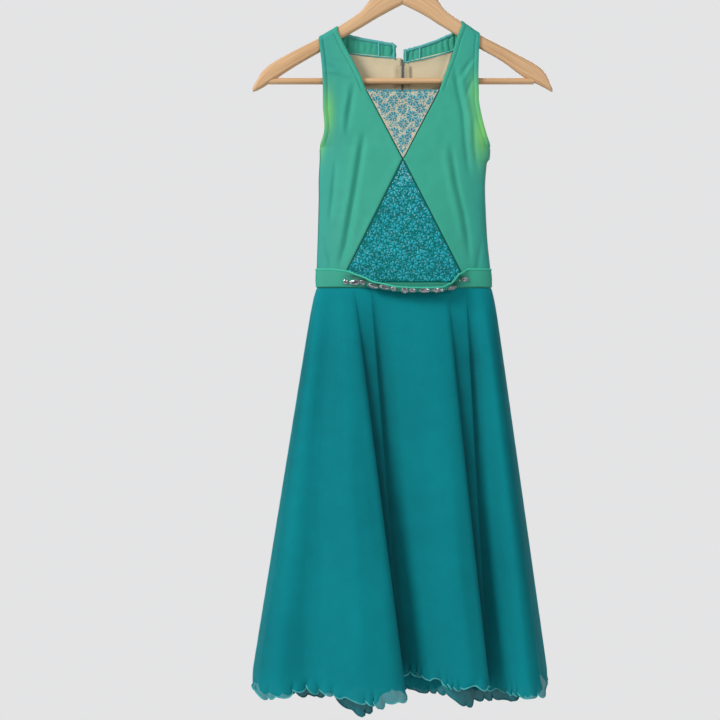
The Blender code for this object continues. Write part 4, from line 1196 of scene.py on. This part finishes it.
UNDER_FRONT = (
    (-122.6, -214.0, 0.0, 1100.0), (-119.0, -196.0, -22.0, 1112.0), (-104.0, -160.0, -33.0, 1108.0),
    (-92.0, -128.0, -25.0, 1119.0), (-86.0, -104.0, -36.0, 1106.0), (-78.0, -80.0, -46.0, 1130.0),
    (-66.0, -52.0, -42.0, 1135.0), (-54.0, -34.0, -22.0, 1110.0), (-34.0, 2.0, -6.0, 1106.0), (-8.0, 34.0, -14.0, 1108.0),
    (24.0, 68.0, -35.0, 1112.0), (52.0, 94.0, -28.0, 1128.0), (70.0, 110.0, -7.0, 1124.0),
    (92.0, 138.0, -5.0, 1122.0), (108.0, 170.0, -22.0, 1116.0), (122.0, 196.0, -14.0, 1112.0),
    (126.2, 204.0, 0.0, 1106.0),
)
UNDER_BACK = (
    (-122.6, -214.0, 0.0, 1100.0), (-116.0, -192.0, 18.0, 1108.0), (-100.0, -158.0, 20.0, 1112.0),
    (-76.0, -114.0, 9.0, 1110.0), (-54.0, -78.0, 30.0, 1114.0), (-36.0, -50.0, 24.0, 1112.0),
    (-14.0, -18.0, 8.5, 1110.0), (6.0, 8.0, 9.0, 1110.0), (28.0, 44.0, 30.0, 1113.0),
    (48.0, 74.0, 26.0, 1112.0), (74.0, 112.0, 9.0, 1110.0), (104.0, 158.0, 24.0, 1110.0),
    (122.0, 192.0, 16.0, 1106.0), (126.2, 204.0, 0.0, 1104.0),
)
FLARE = 0.035
FLARE_HEIGHT = 0.03
FOLD_DEEPENING = 0.75
COLUMN_WIDTH = 2.2
LEVELS = [0.0, 0.003, 0.007, 0.012, 0.018, 0.026, 0.036, 0.05, 0.065]
LEVELS += [0.085 + 0.0235 * step for step in range(36)]
LEVELS += [0.93 + 0.005 * step for step in range(15)]
LETTUCE_START = 0.962
LETTUCE_WAVE = 21.0


def fold_columns(folds):
    columns = []
    for number in range(len(folds) - 1):
        four = [folds[max(number - 1, 0)], folds[number], folds[number + 1], folds[min(number + 2, len(folds) - 1)]]
        width = math.hypot(four[2][1] - four[1][1], four[2][2] - four[1][2])
        steps = max(3, round(width / COLUMN_WIDTH))
        for step in range(steps):
            columns.append([smooth_between(*values, step / steps) for values in zip(*four)])
    columns.append(list(folds[-1]))
    return columns


def skirt_rows(folds, way, inset, seed, ripple, lettuce):
    """Rows of one layer from its waist seam to its hem."""
    columns = fold_columns(folds)
    run = [0.0]
    for one, two in zip(columns, columns[1:]):
        run.append(run[-1] + math.hypot(two[1] - one[1], two[2] - one[2]))
    rows = []
    for level in LEVELS:
        spread = level + FLARE * (1 - level) * (1 - math.exp(-level / FLARE_HEIGHT))
        deepened = spread**FOLD_DEEPENING
        edge = max(level - LETTUCE_START, 0.0) / (1 - LETTUCE_START)
        line = []
        for (waist_x, hem_x, hem_depth, hem_drop), length in zip(columns, run):
            side = read(SIDE_SEAMS, WAIST_SEAM_DROP, 1 if waist_x < 0 else 2)
            share = min(abs(waist_x / side), 1.0)
            deep = max(16.5 * (1 - share**3) ** (1 / 3) - inset, SEAM)
            x = waist_x + (hem_x - waist_x) * spread
            depth = way * deep + (hem_depth - way * deep) * deepened
            free = min(min(length, run[-1] - length) / 40, 1.0)
            slow = noise.noise(Vector((length / 52, level * 2.2, seed)))
            quick = noise.noise(Vector((length / 19, level * 3.0, seed + 30)))
            depth += free * ripple * level**0.8 * (2.6 * slow + 0.9 * quick)
            x += free * level * 1.6 * noise.noise(Vector((length / 40, level * 2.6, seed + 60)))
            turn = length / LETTUCE_WAVE + 1.5 * noise.noise(Vector((length / 30, 0.0, seed + 5)))
            tall = lettuce * edge**1.7 * (1.0 + 1.5 * noise.noise(Vector((length / 26, 1.0, seed + 9))))
            depth += tall * 2.8 * math.sin(2 * math.pi * turn)
            x += tall * 2.8 * math.sin(2 * math.pi * turn + 1.2)
            drop = WAIST_SEAM_DROP + 0.3 + (hem_drop - WAIST_SEAM_DROP) * level
            drop += tall * 3.4 * math.cos(2 * math.pi * turn + 0.5) * edge
            drop += 1.2 * edge * noise.noise(Vector((length / 30, 2.0, seed + 3)))
            line.append(point(x, way * max(way * depth, SEAM), drop))
        rows.append(line)
    return [row[::-1] for row in rows] if way > 0 else rows


def fold_shade(rows, way):
    """How far each point lies in the shade of the flutes beside it, from 0 to 1: painted shade for the chiffon."""
    grid = []
    for row, level in zip(rows, LEVELS):
        line = []
        for c, place in enumerate(row):
            steep = [0.0, 0.0]
            for reach in range(-26, 27, 2):
                if reach and 0 <= c + reach < len(row):
                    other = row[c + reach]
                    rise = way * (other.y - place.y) / max(abs(other.x - place.x), 5 * MM)
                    steep[other.x > place.x] = max(steep[other.x > place.x], rise)
            closed = (0.75 * steep[0] + 0.35 * steep[1]) * (1 + 2.5 * (1 - level) ** 2)
            free = min(c, len(row) - 1 - c) / 14
            line.append(closed / (closed + 2.6) * min(level * 6, free, 1.0, (1.04 - level) * 16))
        grid.append(line)
    return grid


def hem_thread(bm, rows):
    """The thread edge: a fine rolled cord along the last row."""
    tube(bm, rows[-1], 1.0, 6)


LAYERS = (
    # name, folds, way, inset, seed, ripple, lettuce, finish, flat size, flat area
    ("skirt_outer_front", OUTER_FRONT, -1, 0.0, 3.0, 1.0, 1.0, "chiffon_outer", (0.80, 0.61), 0.277),
    ("skirt_outer_back", OUTER_BACK, 1, 0.0, 17.0, 1.0, 1.0, "chiffon_outer", (0.62, 0.60), 0.241),
    ("skirt_under_front", UNDER_FRONT, -1, 1.5, 29.0, 0.6, 0.9, "chiffon_under", (0.56, 0.62), 0.226),
    ("skirt_under_back", UNDER_BACK, 1, 1.5, 41.0, 0.6, 0.9, "chiffon_under", (0.52, 0.60), 0.214),
)
for name, folds, way, inset, seed, ripple, lettuce, finish, flat, area in LAYERS:
    rows = skirt_rows(folds, way, inset, seed, ripple, lettuce)
    layer = cloth("cloth_" + name, rows, finish)
    # The painted fold shade is stored on each point for the chiffon's colour.
    shade = layer.data.attributes.new("fold", "FLOAT", "POINT")
    shade.data.foreach_set("value", [value for line in fold_shade(rows, way) for value in line])
    bm = bmesh.new()
    hem_thread(bm, rows)
    if way < 0:
        for column in (0, -1):
            tube(bm, [Vector((row[column].x, 0.0, row[column].z)) for row in rows], 0.8, 6)
    hem = new_piece(name + "_hem", bm, "hem_light" if "outer" in name else "hem_thread")
    print(name, "hem faces", len(hem.data.polygons))

# %% [markdown]
# Fine dark threads lie in the seams between the lace and the panels and round the waist, and rows
# of small stitches hold the turned edges. A stitch is a short tube, and a row of them is one
# joined mesh.

# %% Seam threads and stitches
bm = bmesh.new()
for table in (LACE_UPPER, LACE_LOWER):
    for side in (0, 1):
        line = []
        for step in range(61):
            drop = table[0][0] + (table[1][0] - table[0][0]) * step / 60
            x = inset_edges(table, drop)[side] + (-0.2 if side == 0 else 0.2)
            line.append(body_place(x, drop, -1, -0.1))
        tube(bm, line, 0.6, 6)
for name, table, way, side, _, _ in PANELS[:2]:
    line = []
    for step in range(41):
        drop = UNDERARM_DROP + 2 + (BODICE_FOOT_DROP - UNDERARM_DROP - 2) * step / 40
        line.append(point(read(SIDE_LINE, drop, 1 if side < 0 else 2), 0.0, drop))
    tube(bm, line, 0.5, 6)
seams = new_piece("seam_threads", bm, "seam_thread")
print("seam threads", len(seams.data.polygons))


def column_near(rows, row, column_from, distance):
    """The column that lies a distance, in millimetres, in from an edge of a row."""
    order = range(len(rows[row])) if column_from == 0 else range(len(rows[row]) - 1, -1, -1)
    start = rows[row][column_from]
    for column in order:
        if (rows[row][column] - start).length / MM >= distance:
            return column
    return column_from


bm = bmesh.new()
for name, table, way, side, _, _ in PANELS:
    rows = panel_rows(table, way, side)
    normals = grid_normals(rows)
    neck_side = -1 if side * way > 0 else 0
    arm_side = 0 if neck_side == -1 else -1
    neck_end = 226.0 if way < 0 else 190.0
    for from_side, last in ((neck_side, neck_end), (arm_side, UNDERARM_DROP - 4)):
        for r in range(ROUND_STEPS, len(rows) - 1):
            column = column_near(rows, r, from_side, 6.6)
            place = rows[r][column]
            following = rows[r + 1][column_near(rows, r + 1, from_side, 6.6)]
            if -place.z / MM > last:
                break
            step = (following - place).length / MM
            count = max(1, round(step / 3.2))
            for number in range(count):
                middle = place.lerp(following, (number + 0.5) / count)
                along = (following - place).normalized() * 0.9 * MM
                out = normals[r][column] * -0.1 * MM
                tube(bm, [middle + out - along, middle + out + along], 0.18, 4)
stitches = new_piece("edge_stitches", bm, "stitch_thread")
print("stitch faces", len(stitches.data.polygons))

# %% [markdown]
# The belt carries foiled stones in silver settings. One stone and one setting are modelled by
# hand: a cylinder's upper face is inset and lifted into a crown with a flat table, and the
# setting is a low torus with four claws. Each seat on the belt then gets a copy with its own
# mesh, stretched to the size of that stone.

# %% One stone and one setting
def edit(piece):
    deselect()
    piece.select_set(True)
    bpy.context.view_layer.objects.active = piece
    bpy.ops.object.mode_set(mode="EDIT")


def pick_faces(piece, keep):
    """Selects the faces of the piece in edit mode whose centre and normal pass a test."""
    bpy.ops.mesh.select_mode(type="FACE")
    bpy.ops.mesh.select_all(action="DESELECT")
    shape = bmesh.from_edit_mesh(piece.data)
    count = 0
    for face in shape.faces:
        if keep(face.calc_center_median(), face.normal):
            face.select = True
            count += 1
    bmesh.update_edit_mesh(piece.data)
    return count


def leave_edit():
    bpy.ops.object.mode_set(mode="OBJECT")


def model_stone():
    deselect()
    bpy.ops.mesh.primitive_cylinder_add(vertices=14, radius=0.94, depth=0.5, location=(0, 0, 0))
    stone = bpy.context.active_object
    edit(stone)
    pick_faces(stone, lambda centre, normal: normal.z > 0.9)
    bpy.ops.mesh.inset(thickness=0.26, depth=0.34)
    bpy.ops.mesh.inset(thickness=0.22, depth=0.20)
    pick_faces(stone, lambda centre, normal: normal.z < -0.9)
    bpy.ops.transform.resize(value=(0.75, 0.75, 1.0))
    leave_edit()
    return stone


def model_setting():
    deselect()
    bpy.ops.mesh.primitive_torus_add(
        major_segments=22, minor_segments=6, major_radius=0.93, minor_radius=0.13, location=(0, 0, -0.05)
    )
    ring = bpy.context.active_object
    claws = [ring]
    for number in range(4):
        turn = math.radians(45 + 90 * number)
        place = (0.9 * math.cos(turn), 0.9 * math.sin(turn), 0.25)
        bpy.ops.mesh.primitive_cone_add(vertices=6, radius1=0.16, radius2=0.06, depth=0.75, location=place)
        claw = bpy.context.active_object
        edit(claw)
        pick_faces(claw, lambda centre, normal: normal.z > 0.9)
        bpy.ops.transform.translate(value=(-0.22 * math.cos(turn), -0.22 * math.sin(turn), 0.0))
        leave_edit()
        claws.append(claw)
    deselect()
    for claw in claws:
        claw.select_set(True)
    bpy.context.view_layer.objects.active = ring
    bpy.ops.object.join()
    bpy.ops.object.transform_apply(location=True, rotation=True, scale=True)
    return ring


master_stone = model_stone()
master_setting = model_setting()
print("stone faces", len(master_stone.data.polygons), "setting faces", len(master_setting.data.polygons))

# %% Stones on the belt
# x, place up the belt, half length, half height, tilt in degrees
STONES = (
    (-83.9, 0.36, 3.6, 3.4, 0.0), (-70.6, 0.46, 7.4, 3.3, -24.0), (-59.5, 0.60, 4.0, 3.2, -20.0),
    (-44.0, 0.72, 7.4, 3.2, -6.0), (-27.7, 0.80, 6.6, 3.2, 0.0), (-14.4, 0.82, 3.6, 3.2, 0.0),
    (1.9, 0.80, 4.6, 4.2, 0.0), (13.2, 0.82, 4.4, 3.0, 0.0), (31.0, 0.82, 7.0, 3.2, 0.0),
    (47.8, 0.82, 4.6, 3.4, 0.0), (55.2, 0.80, 2.6, 2.6, 0.0), (70.7, 0.62, 6.6, 3.2, 20.0),
    (91.0, 0.52, 4.4, 2.9, 22.0),
)
STONE_HALF_DEPTH = 1.6


def front_angle(x):
    side = read(SIDE_SEAMS, BELT_FOOT_DROP, 1 if x < 0 else 2)
    return -math.acos(math.copysign(abs(x / side) ** 1.5, x))


for number, (x, up, half_length, half_height, tilt) in enumerate(STONES, 1):
    angle = front_angle(x)
    above = belt_place(angle, up + 0.06) - belt_place(angle, up - 0.06)
    along = (belt_place(angle + 0.02, up) - belt_place(angle - 0.02, up)).normalized()
    out = along.cross(above).normalized()
    seat = belt_place(angle, up) + out * (STONE_HALF_DEPTH - 0.3) * MM
    out = (out + Vector((0, -0.45, 0))).normalized()
    along = (along - out * along.dot(out)).normalized()
    way = Matrix((along, out.cross(along), out)).transposed().to_4x4()
    turn = Matrix.Rotation(math.radians(-tilt), 4, "Z")
    size = Matrix.Diagonal((1.08 * half_length * MM, 1.12 * half_height * MM, STONE_HALF_DEPTH * MM, 1.0))
    pair = []
    for master, finish in ((master_setting, "silver"), (master_stone, "gem")):
        mesh = master.data.copy()
        mesh.transform(Matrix.Translation(seat) @ way @ turn @ size)
        mesh.materials.clear()
        mesh.materials.append(MATERIALS[finish])
        made = bpy.data.objects.new(f"set_stone_{number:02d}", mesh)
        bpy.context.scene.collection.objects.link(made)
        pair.append(made)
    deselect()
    for made in pair:
        made.select_set(True)
    bpy.context.view_layer.objects.active = pair[0]
    bpy.ops.object.join()
    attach(pair[0], DRESS)
    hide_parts(f"stone_{number:02d}")
for master in (master_stone, master_setting):
    bpy.data.objects.remove(master, do_unlink=True)

bm = bmesh.new()
dice = random.Random(5)
heights = tuple((x, up) for x, up, *_ in STONES)
beads = 0
for number in range(61):
    x = heights[0][0] + (heights[-1][0] - heights[0][0]) * number / 60
    if any(abs(x - place) < half + 0.9 for place, _, half, _, _ in STONES):
        continue
    if dice.random() < 0.25:
        continue
    angle = front_angle(x)
    up = read(heights, x) + dice.uniform(-0.05, 0.05)
    above = belt_place(angle, up + 0.06) - belt_place(angle, up - 0.06)
    along = (belt_place(angle + 0.02, up) - belt_place(angle - 0.02, up)).normalized()
    out = along.cross(above).normalized()
    way = Matrix((along, out.cross(along), out)).transposed().to_4x4()
    size = Matrix.Diagonal((1.5 * MM, dice.uniform(1.5, 2.3) * MM, 1.2 * MM, 1.0))
    place = Matrix.Translation(belt_place(angle, up) + out * 0.8 * MM) @ way @ size
    made = bmesh.ops.create_icosphere(bm, subdivisions=1, radius=1.0, matrix=place)
    for face in {face for vert in made["verts"] for face in vert.link_faces}:
        face.material_index = number % 2
    beads += 1
small = new_piece("belt_beads", bm, ("gem", "silver"), smooth=False)
print("beads:", beads)
print("stones set:", len(STONES))

# %% [markdown]
# The zip runs up the middle of the back between the two back panels and stops just under the
# neck band. Its tape is a cloth piece, its teeth are two columns of small blocks copied down the
# tape, and its slider and pull are modelled by hand.

# %% Zip tape and teeth
SLIDER_DROP = 190.0
rows = []
for step in range(61):
    drop = 186.0 + (WAIST_SEAM_DROP - 186.0) * step / 60
    line = []
    for column in range(13):
        x = 11.0 - 22.0 * column / 12
        line.append(body_place(x, drop, 1, -2.0 + 0.2 * math.cos(x * 0.9)))
    rows.append(line)
tape = cloth("cloth_zip_tape", rows, "zip_tape", 0.6)

TOOTH_PITCH = 1.5
bm = bmesh.new()
count = int((WAIST_SEAM_DROP - SLIDER_DROP - 7) / TOOTH_PITCH)
for number in range(count):
    for side in (-1, 1):
        drop = SLIDER_DROP + 6 + (number + (0.5 if side > 0 else 0.0)) * TOOTH_PITCH
        place = body_place(side * 0.35, drop, 1, -1.2)
        size = Matrix.Diagonal((1.5 * MM, 1.0 * MM, 0.8 * MM, 1.0))
        bmesh.ops.create_cube(bm, size=1.0, matrix=Matrix.Translation(place) @ size)
for side in (-1, 1):
    line = [body_place(side * 0.7, 177.0 + step * 5.7, 1, -3.3) for step in range(60)]
    tube(bm, line, 0.8, 6)
teeth = new_piece("zip_teeth", bm, "zip_metal", smooth=False)
print("teeth:", count * 2)

# %% Slider
face = read(BODY_DEPTH, SLIDER_DROP) + 0.6
deselect()
bpy.ops.mesh.primitive_cube_add(size=1.0, location=(0, (face + 0.6) * MM, -SLIDER_DROP * MM), scale=(6 * MM, 1.2 * MM, 9 * MM))
bpy.ops.object.transform_apply(location=True, rotation=True, scale=True)
slider = bpy.context.active_object
slider.name = "slider_body"
edit(slider)
pick_faces(slider, lambda centre, normal: normal.z < -0.9)
bpy.ops.transform.resize(value=(0.62, 1.0, 1.0))
pick_faces(slider, lambda centre, normal: normal.y > 0.9)
bpy.ops.mesh.inset(thickness=0.5 * MM, depth=-0.15 * MM)
leave_edit()
arch = (face + 1.1, SLIDER_DROP)
bpy.ops.mesh.primitive_circle_add(
    vertices=10, radius=0.55 * MM, fill_type="NGON",
    location=(0, (arch[0] + 0.1) * MM, (-SLIDER_DROP + 3.0) * MM), rotation=(math.radians(90), 0, 0),
)
bpy.ops.object.transform_apply(location=True, rotation=True, scale=True)
bridge = bpy.context.active_object
edit(bridge)
bpy.ops.mesh.select_all(action="SELECT")
bpy.ops.mesh.spin(
    steps=14, angle=math.radians(180), center=(0, (arch[0] + 0.1) * MM, -SLIDER_DROP * MM), axis=(1, 0, 0)
)
bpy.ops.mesh.select_all(action="SELECT")
bpy.ops.mesh.normals_make_consistent(inside=False)
leave_edit()
reach = max(vert.co.y for vert in bridge.data.vertices) / MM
if reach < arch[0] + 2:
    bridge.data.transform(
        Matrix.Translation((0, 0, -SLIDER_DROP * MM)) @ Matrix.Rotation(math.pi, 4, "X")
        @ Matrix.Translation((0, 0, SLIDER_DROP * MM))
    )
    bridge.data.transform(Matrix.Translation((0, 2 * (arch[0] + 0.1) * MM, 0)))
deselect()
slider.select_set(True)
bridge.select_set(True)
bpy.context.view_layer.objects.active = slider
bpy.ops.object.join()
slider.data.materials.clear()
slider.data.materials.append(MATERIALS["zip_metal"])
bevel = slider.modifiers.new("edges", "BEVEL")
bevel.width = 0.25 * MM
bevel.segments = 2
bpy.ops.object.modifier_apply(modifier=bevel.name)
bpy.ops.object.shade_smooth_by_angle(angle=math.radians(35))
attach(slider, DRESS)
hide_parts("zip_slider")
low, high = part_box("zip_slider")
print("slider", [round(v / MM, 1) for v in low], [round(v / MM, 1) for v in high])

# %% [markdown]
# The pull is a slim plate with an eye that the slider's bridge passes through. A block is cut
# by planes where the eye's sides come, the two middle faces are taken away, and the edges of the
# hole are bridged.

# %% Pull
low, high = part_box("zip_pull")
middle = [(a + b) / 2 for a, b in zip(low, high)]
size = [b - a for a, b in zip(low, high)]
deselect()
bpy.ops.mesh.primitive_cube_add(size=1.0, location=middle, scale=size)
bpy.ops.object.transform_apply(location=True, rotation=True, scale=True)
pull = bpy.context.active_object
pull.name = "pull_tab"
edit(pull)
eye_top, eye_foot, eye_half = high[2] - 0.8 * MM, high[2] - 6.3 * MM, 1.5 * MM
for place, normal in (
    ((0, 0, eye_top), (0, 0, 1)), ((0, 0, eye_foot), (0, 0, 1)), ((eye_half, 0, 0), (1, 0, 0)), ((-eye_half, 0, 0), (1, 0, 0)),
):
    bpy.ops.mesh.select_all(action="SELECT")
    bpy.ops.mesh.bisect(plane_co=place, plane_no=normal)


def in_eye(centre, normal):
    return abs(centre.x) < eye_half and eye_foot < centre.z < eye_top and abs(normal.y) > 0.9


print("eye faces", pick_faces(pull, in_eye))
bpy.ops.mesh.delete(type="FACE")
bpy.ops.mesh.select_mode(type="EDGE")
bpy.ops.mesh.select_all(action="DESELECT")
shape = bmesh.from_edit_mesh(pull.data)
for edge in shape.edges:
    edge.select = edge.is_boundary
bmesh.update_edit_mesh(pull.data)
bpy.ops.mesh.bridge_edge_loops()
pick_faces(pull, lambda centre, normal: normal.z < -0.9)
bpy.ops.transform.resize(value=(0.8, 1.0, 1.0))
leave_edit()
pull.data.materials.append(MATERIALS["zip_metal"])
bevel = pull.modifiers.new("edges", "BEVEL")
bevel.width = 0.22 * MM
bevel.segments = 2
bpy.ops.object.modifier_apply(modifier=bevel.name)
bpy.ops.object.shade_smooth_by_angle(angle=math.radians(35))
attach(pull, "zip_pull")
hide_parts("zip_pull")
print("pull faces", len(pull.data.polygons))

# %% [markdown]
# The hanger is two arms of pale wood that meet under the hook, a round bar between their tips and
# a bent wire hook. An arm is drawn out from its middle end to its tip: a round face is extruded
# from station to station, its upper half is raised and its lower half lowered to the height of
# the arm there, and near the tip the face is scaled down.

# %% Hanger arms
ARM_RADIUS = 6.0
# x, top drop, bottom drop
LEFT_ARM = (
    (-222.0, 221.0, 226.0), (-217.0, 211.0, 225.0), (-206.7, 195.0, 219.8), (-190.5, 182.0, 209.0),
    (-159.4, 165.0, 188.8), (-124.0, 147.0, 168.4), (-96.5, 131.0, 151.5), (-64.0, 109.0, 132.8),
    (-48.8, 90.3, 123.6), (-36.9, 77.0, 116.6), (-18.8, 63.6, 106.6), (-0.15, 59.2, 97.0),
)
RIGHT_ARM = (
    (221.5, 222.0, 226.5), (218.7, 215.5, 225.5), (212.0, 200.5, 221.5), (200.2, 188.0, 215.5),
    (176.6, 174.6, 203.0), (147.0, 159.0, 181.0), (113.8, 141.6, 162.5), (87.3, 123.0, 147.5),
    (62.6, 105.0, 132.0), (52.0, 90.3, 125.8), (37.0, 77.0, 116.0), (18.8, 63.6, 106.0), (0.15, 59.2, 97.0),
)


def pick_half(piece, ring, sign, middle_z):
    """Selects the upper or the lower half of the ring that is being shaped."""
    bpy.ops.mesh.select_all(action="DESELECT")
    shape = bmesh.from_edit_mesh(piece.data)
    shape.verts.ensure_lookup_table()
    for index in ring:
        vert = shape.verts[index]
        vert.select = sign * (vert.co.z - middle_z) > 1e-7
    shape.select_flush_mode()
    bmesh.update_edit_mesh(piece.data)


def draw_out_arm(name, table):
    stations = smooth_rows(table[::-1], 3)
    x, top, bottom = stations[0]
    middle_z = -(top + bottom) / 2
    deselect()
    bpy.ops.mesh.primitive_circle_add(
        vertices=28, radius=ARM_RADIUS * MM, fill_type="NGON",
        location=(x * MM, 0, middle_z * MM), rotation=(0, math.radians(90), 0),
    )
    bpy.ops.object.transform_apply(location=True, rotation=True, scale=True)
    arm = bpy.context.active_object
    arm.name = name
    edit(arm)
    bpy.ops.mesh.select_mode(type="VERT")
    bpy.ops.mesh.select_all(action="SELECT")
    raised, scale = 0.0, 1.0
    for number, (x, top, bottom) in enumerate(stations):
        if number:
            shift = ((x - stations[number - 1][0]) * MM, 0, (-(top + bottom) / 2 - middle_z) * MM)
            bpy.ops.mesh.extrude_region_move(TRANSFORM_OT_translate={"value": shift})
            middle_z = -(top + bottom) / 2
        shape = bmesh.from_edit_mesh(arm.data)
        shape.verts.index_update()
        ring = [vert.index for vert in shape.verts if vert.select]
        tall = max(bottom - top, 1.0)
        wanted = max(tall / 2 - ARM_RADIUS, 0.0)
        for sign in (1, -1):
            pick_half(arm, ring, sign, middle_z * MM)
            bpy.ops.transform.translate(value=(0, 0, sign * (wanted - raised) * MM))
        raised = wanted
        bpy.ops.mesh.select_all(action="DESELECT")
        shape = bmesh.from_edit_mesh(arm.data)
        shape.verts.ensure_lookup_table()
        for index in ring:
            shape.verts[index].select = True
        shape.select_flush_mode()
        bmesh.update_edit_mesh(arm.data)
        full = min(tall / (2 * ARM_RADIUS), 1.0)
        if abs(full - scale) > 1e-6:
            bpy.ops.transform.resize(value=(1.0, full / scale, full / scale))
            scale = full
    bpy.ops.mesh.select_all(action="SELECT")
    bpy.ops.mesh.normals_make_consistent(inside=False)
    leave_edit()
    return arm


def grain_map(piece, table):
    """A map for the wood: along the arm first, then across it."""
    mesh = piece.data
    layer = mesh.uv_layers.get("cloth") or mesh.uv_layers.new(name="cloth")
    line = sorted((x, (top + bottom) / 2) for x, top, bottom in table)
    for loop in mesh.loops:
        place = mesh.vertices[loop.vertex_index].co / MM
        along = math.hypot(place.x, 0.55 * read(line, place.x))
        layer.data[loop.index].uv = (along * MM, (-place.z - read(line, place.x) + 0.6 * place.y) * MM)


for name, node, table in (
    ("wood_arm_left", "hanger_arm_left", LEFT_ARM),
    ("wood_arm_right", "hanger_arm_right", RIGHT_ARM),
):
    arm = draw_out_arm(name, table)
    grain_map(arm, table)
    arm.data.materials.append(MATERIALS["wood"])
    bevel = arm.modifiers.new("edges", "BEVEL")
    bevel.width = 0.8 * MM
    bevel.segments = 3
    bevel.limit_method = "ANGLE"
    bevel.angle_limit = math.radians(60)
    bpy.ops.object.modifier_apply(modifier=bevel.name)
    bpy.ops.object.shade_smooth_by_angle(angle=math.radians(50))
    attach(arm, DRESS)
    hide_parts(node)
    print(name, "faces", len(arm.data.polygons))

# %% Bar and hook
BAR_DROP = 210.5
deselect()
bpy.ops.mesh.primitive_cylinder_add(
    vertices=32, radius=4.75 * MM, depth=393.0 * MM, location=(-2.5 * MM, 0, -BAR_DROP * MM), rotation=(0, math.radians(90), 0)
)
bpy.ops.object.transform_apply(location=True, rotation=True, scale=True)
bar = bpy.context.active_object
bar.name = "wood_bar"
edit(bar)
for place in (-120, -60, 0, 60, 120):
    bpy.ops.mesh.select_all(action="SELECT")
    bpy.ops.mesh.bisect(plane_co=(place * MM, 0, 0), plane_no=(1, 0, 0))
leave_edit()
grain_map(bar, ((-200.0, BAR_DROP, BAR_DROP), (200.0, BAR_DROP, BAR_DROP)))
bar.data.materials.append(MATERIALS["wood"])
bpy.ops.object.shade_smooth_by_angle(angle=math.radians(50))
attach(bar, DRESS)
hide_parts("hanger_bar")

WIRE = 1.75
RING = 21.75
deselect()
bpy.ops.mesh.primitive_circle_add(vertices=16, radius=WIRE * MM, fill_type="NGON", location=(0, 0, -58.9 * MM))
bpy.ops.object.transform_apply(location=True, rotation=True, scale=True)
hook = bpy.context.active_object
hook.name = "wire_hook"
edit(hook)
bpy.ops.mesh.select_all(action="SELECT")
bpy.ops.mesh.extrude_region_move(TRANSFORM_OT_translate={"value": (0, 0, 2.7 * MM)})


def picked_middle(piece):
    shape = bmesh.from_edit_mesh(piece.data)
    places = [vert.co for vert in shape.verts if vert.select]
    return sum(places, Vector()) / len(places)


BEND = 19.2
bpy.ops.mesh.spin(steps=10, angle=math.radians(-62), center=(BEND * MM, 0, -56.2 * MM), axis=(0, 1, 0))
print("after the bend", [round(v / MM, 1) for v in picked_middle(hook)])
bpy.ops.mesh.spin(steps=44, angle=math.radians(270), center=(0, 0, -20 * MM), axis=(0, 1, 0))
print("hook's end", [round(v / MM, 1) for v in picked_middle(hook)])
bpy.ops.mesh.select_all(action="SELECT")
bpy.ops.mesh.normals_make_consistent(inside=False)
leave_edit()
hook.data.materials.append(MATERIALS["steel"])
bevel = hook.modifiers.new("ends", "BEVEL")
bevel.width = 0.8 * MM
bevel.segments = 3
bevel.limit_method = "ANGLE"
bevel.angle_limit = math.radians(60)
bpy.ops.object.modifier_apply(modifier=bevel.name)
bpy.ops.object.shade_smooth_by_angle(angle=math.radians(50))
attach(hook, DRESS)
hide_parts("hanger_hook")
print("hook faces", len(hook.data.polygons))

# %% [markdown]
# Last, the view layer is updated.

bpy.context.view_layer.update()
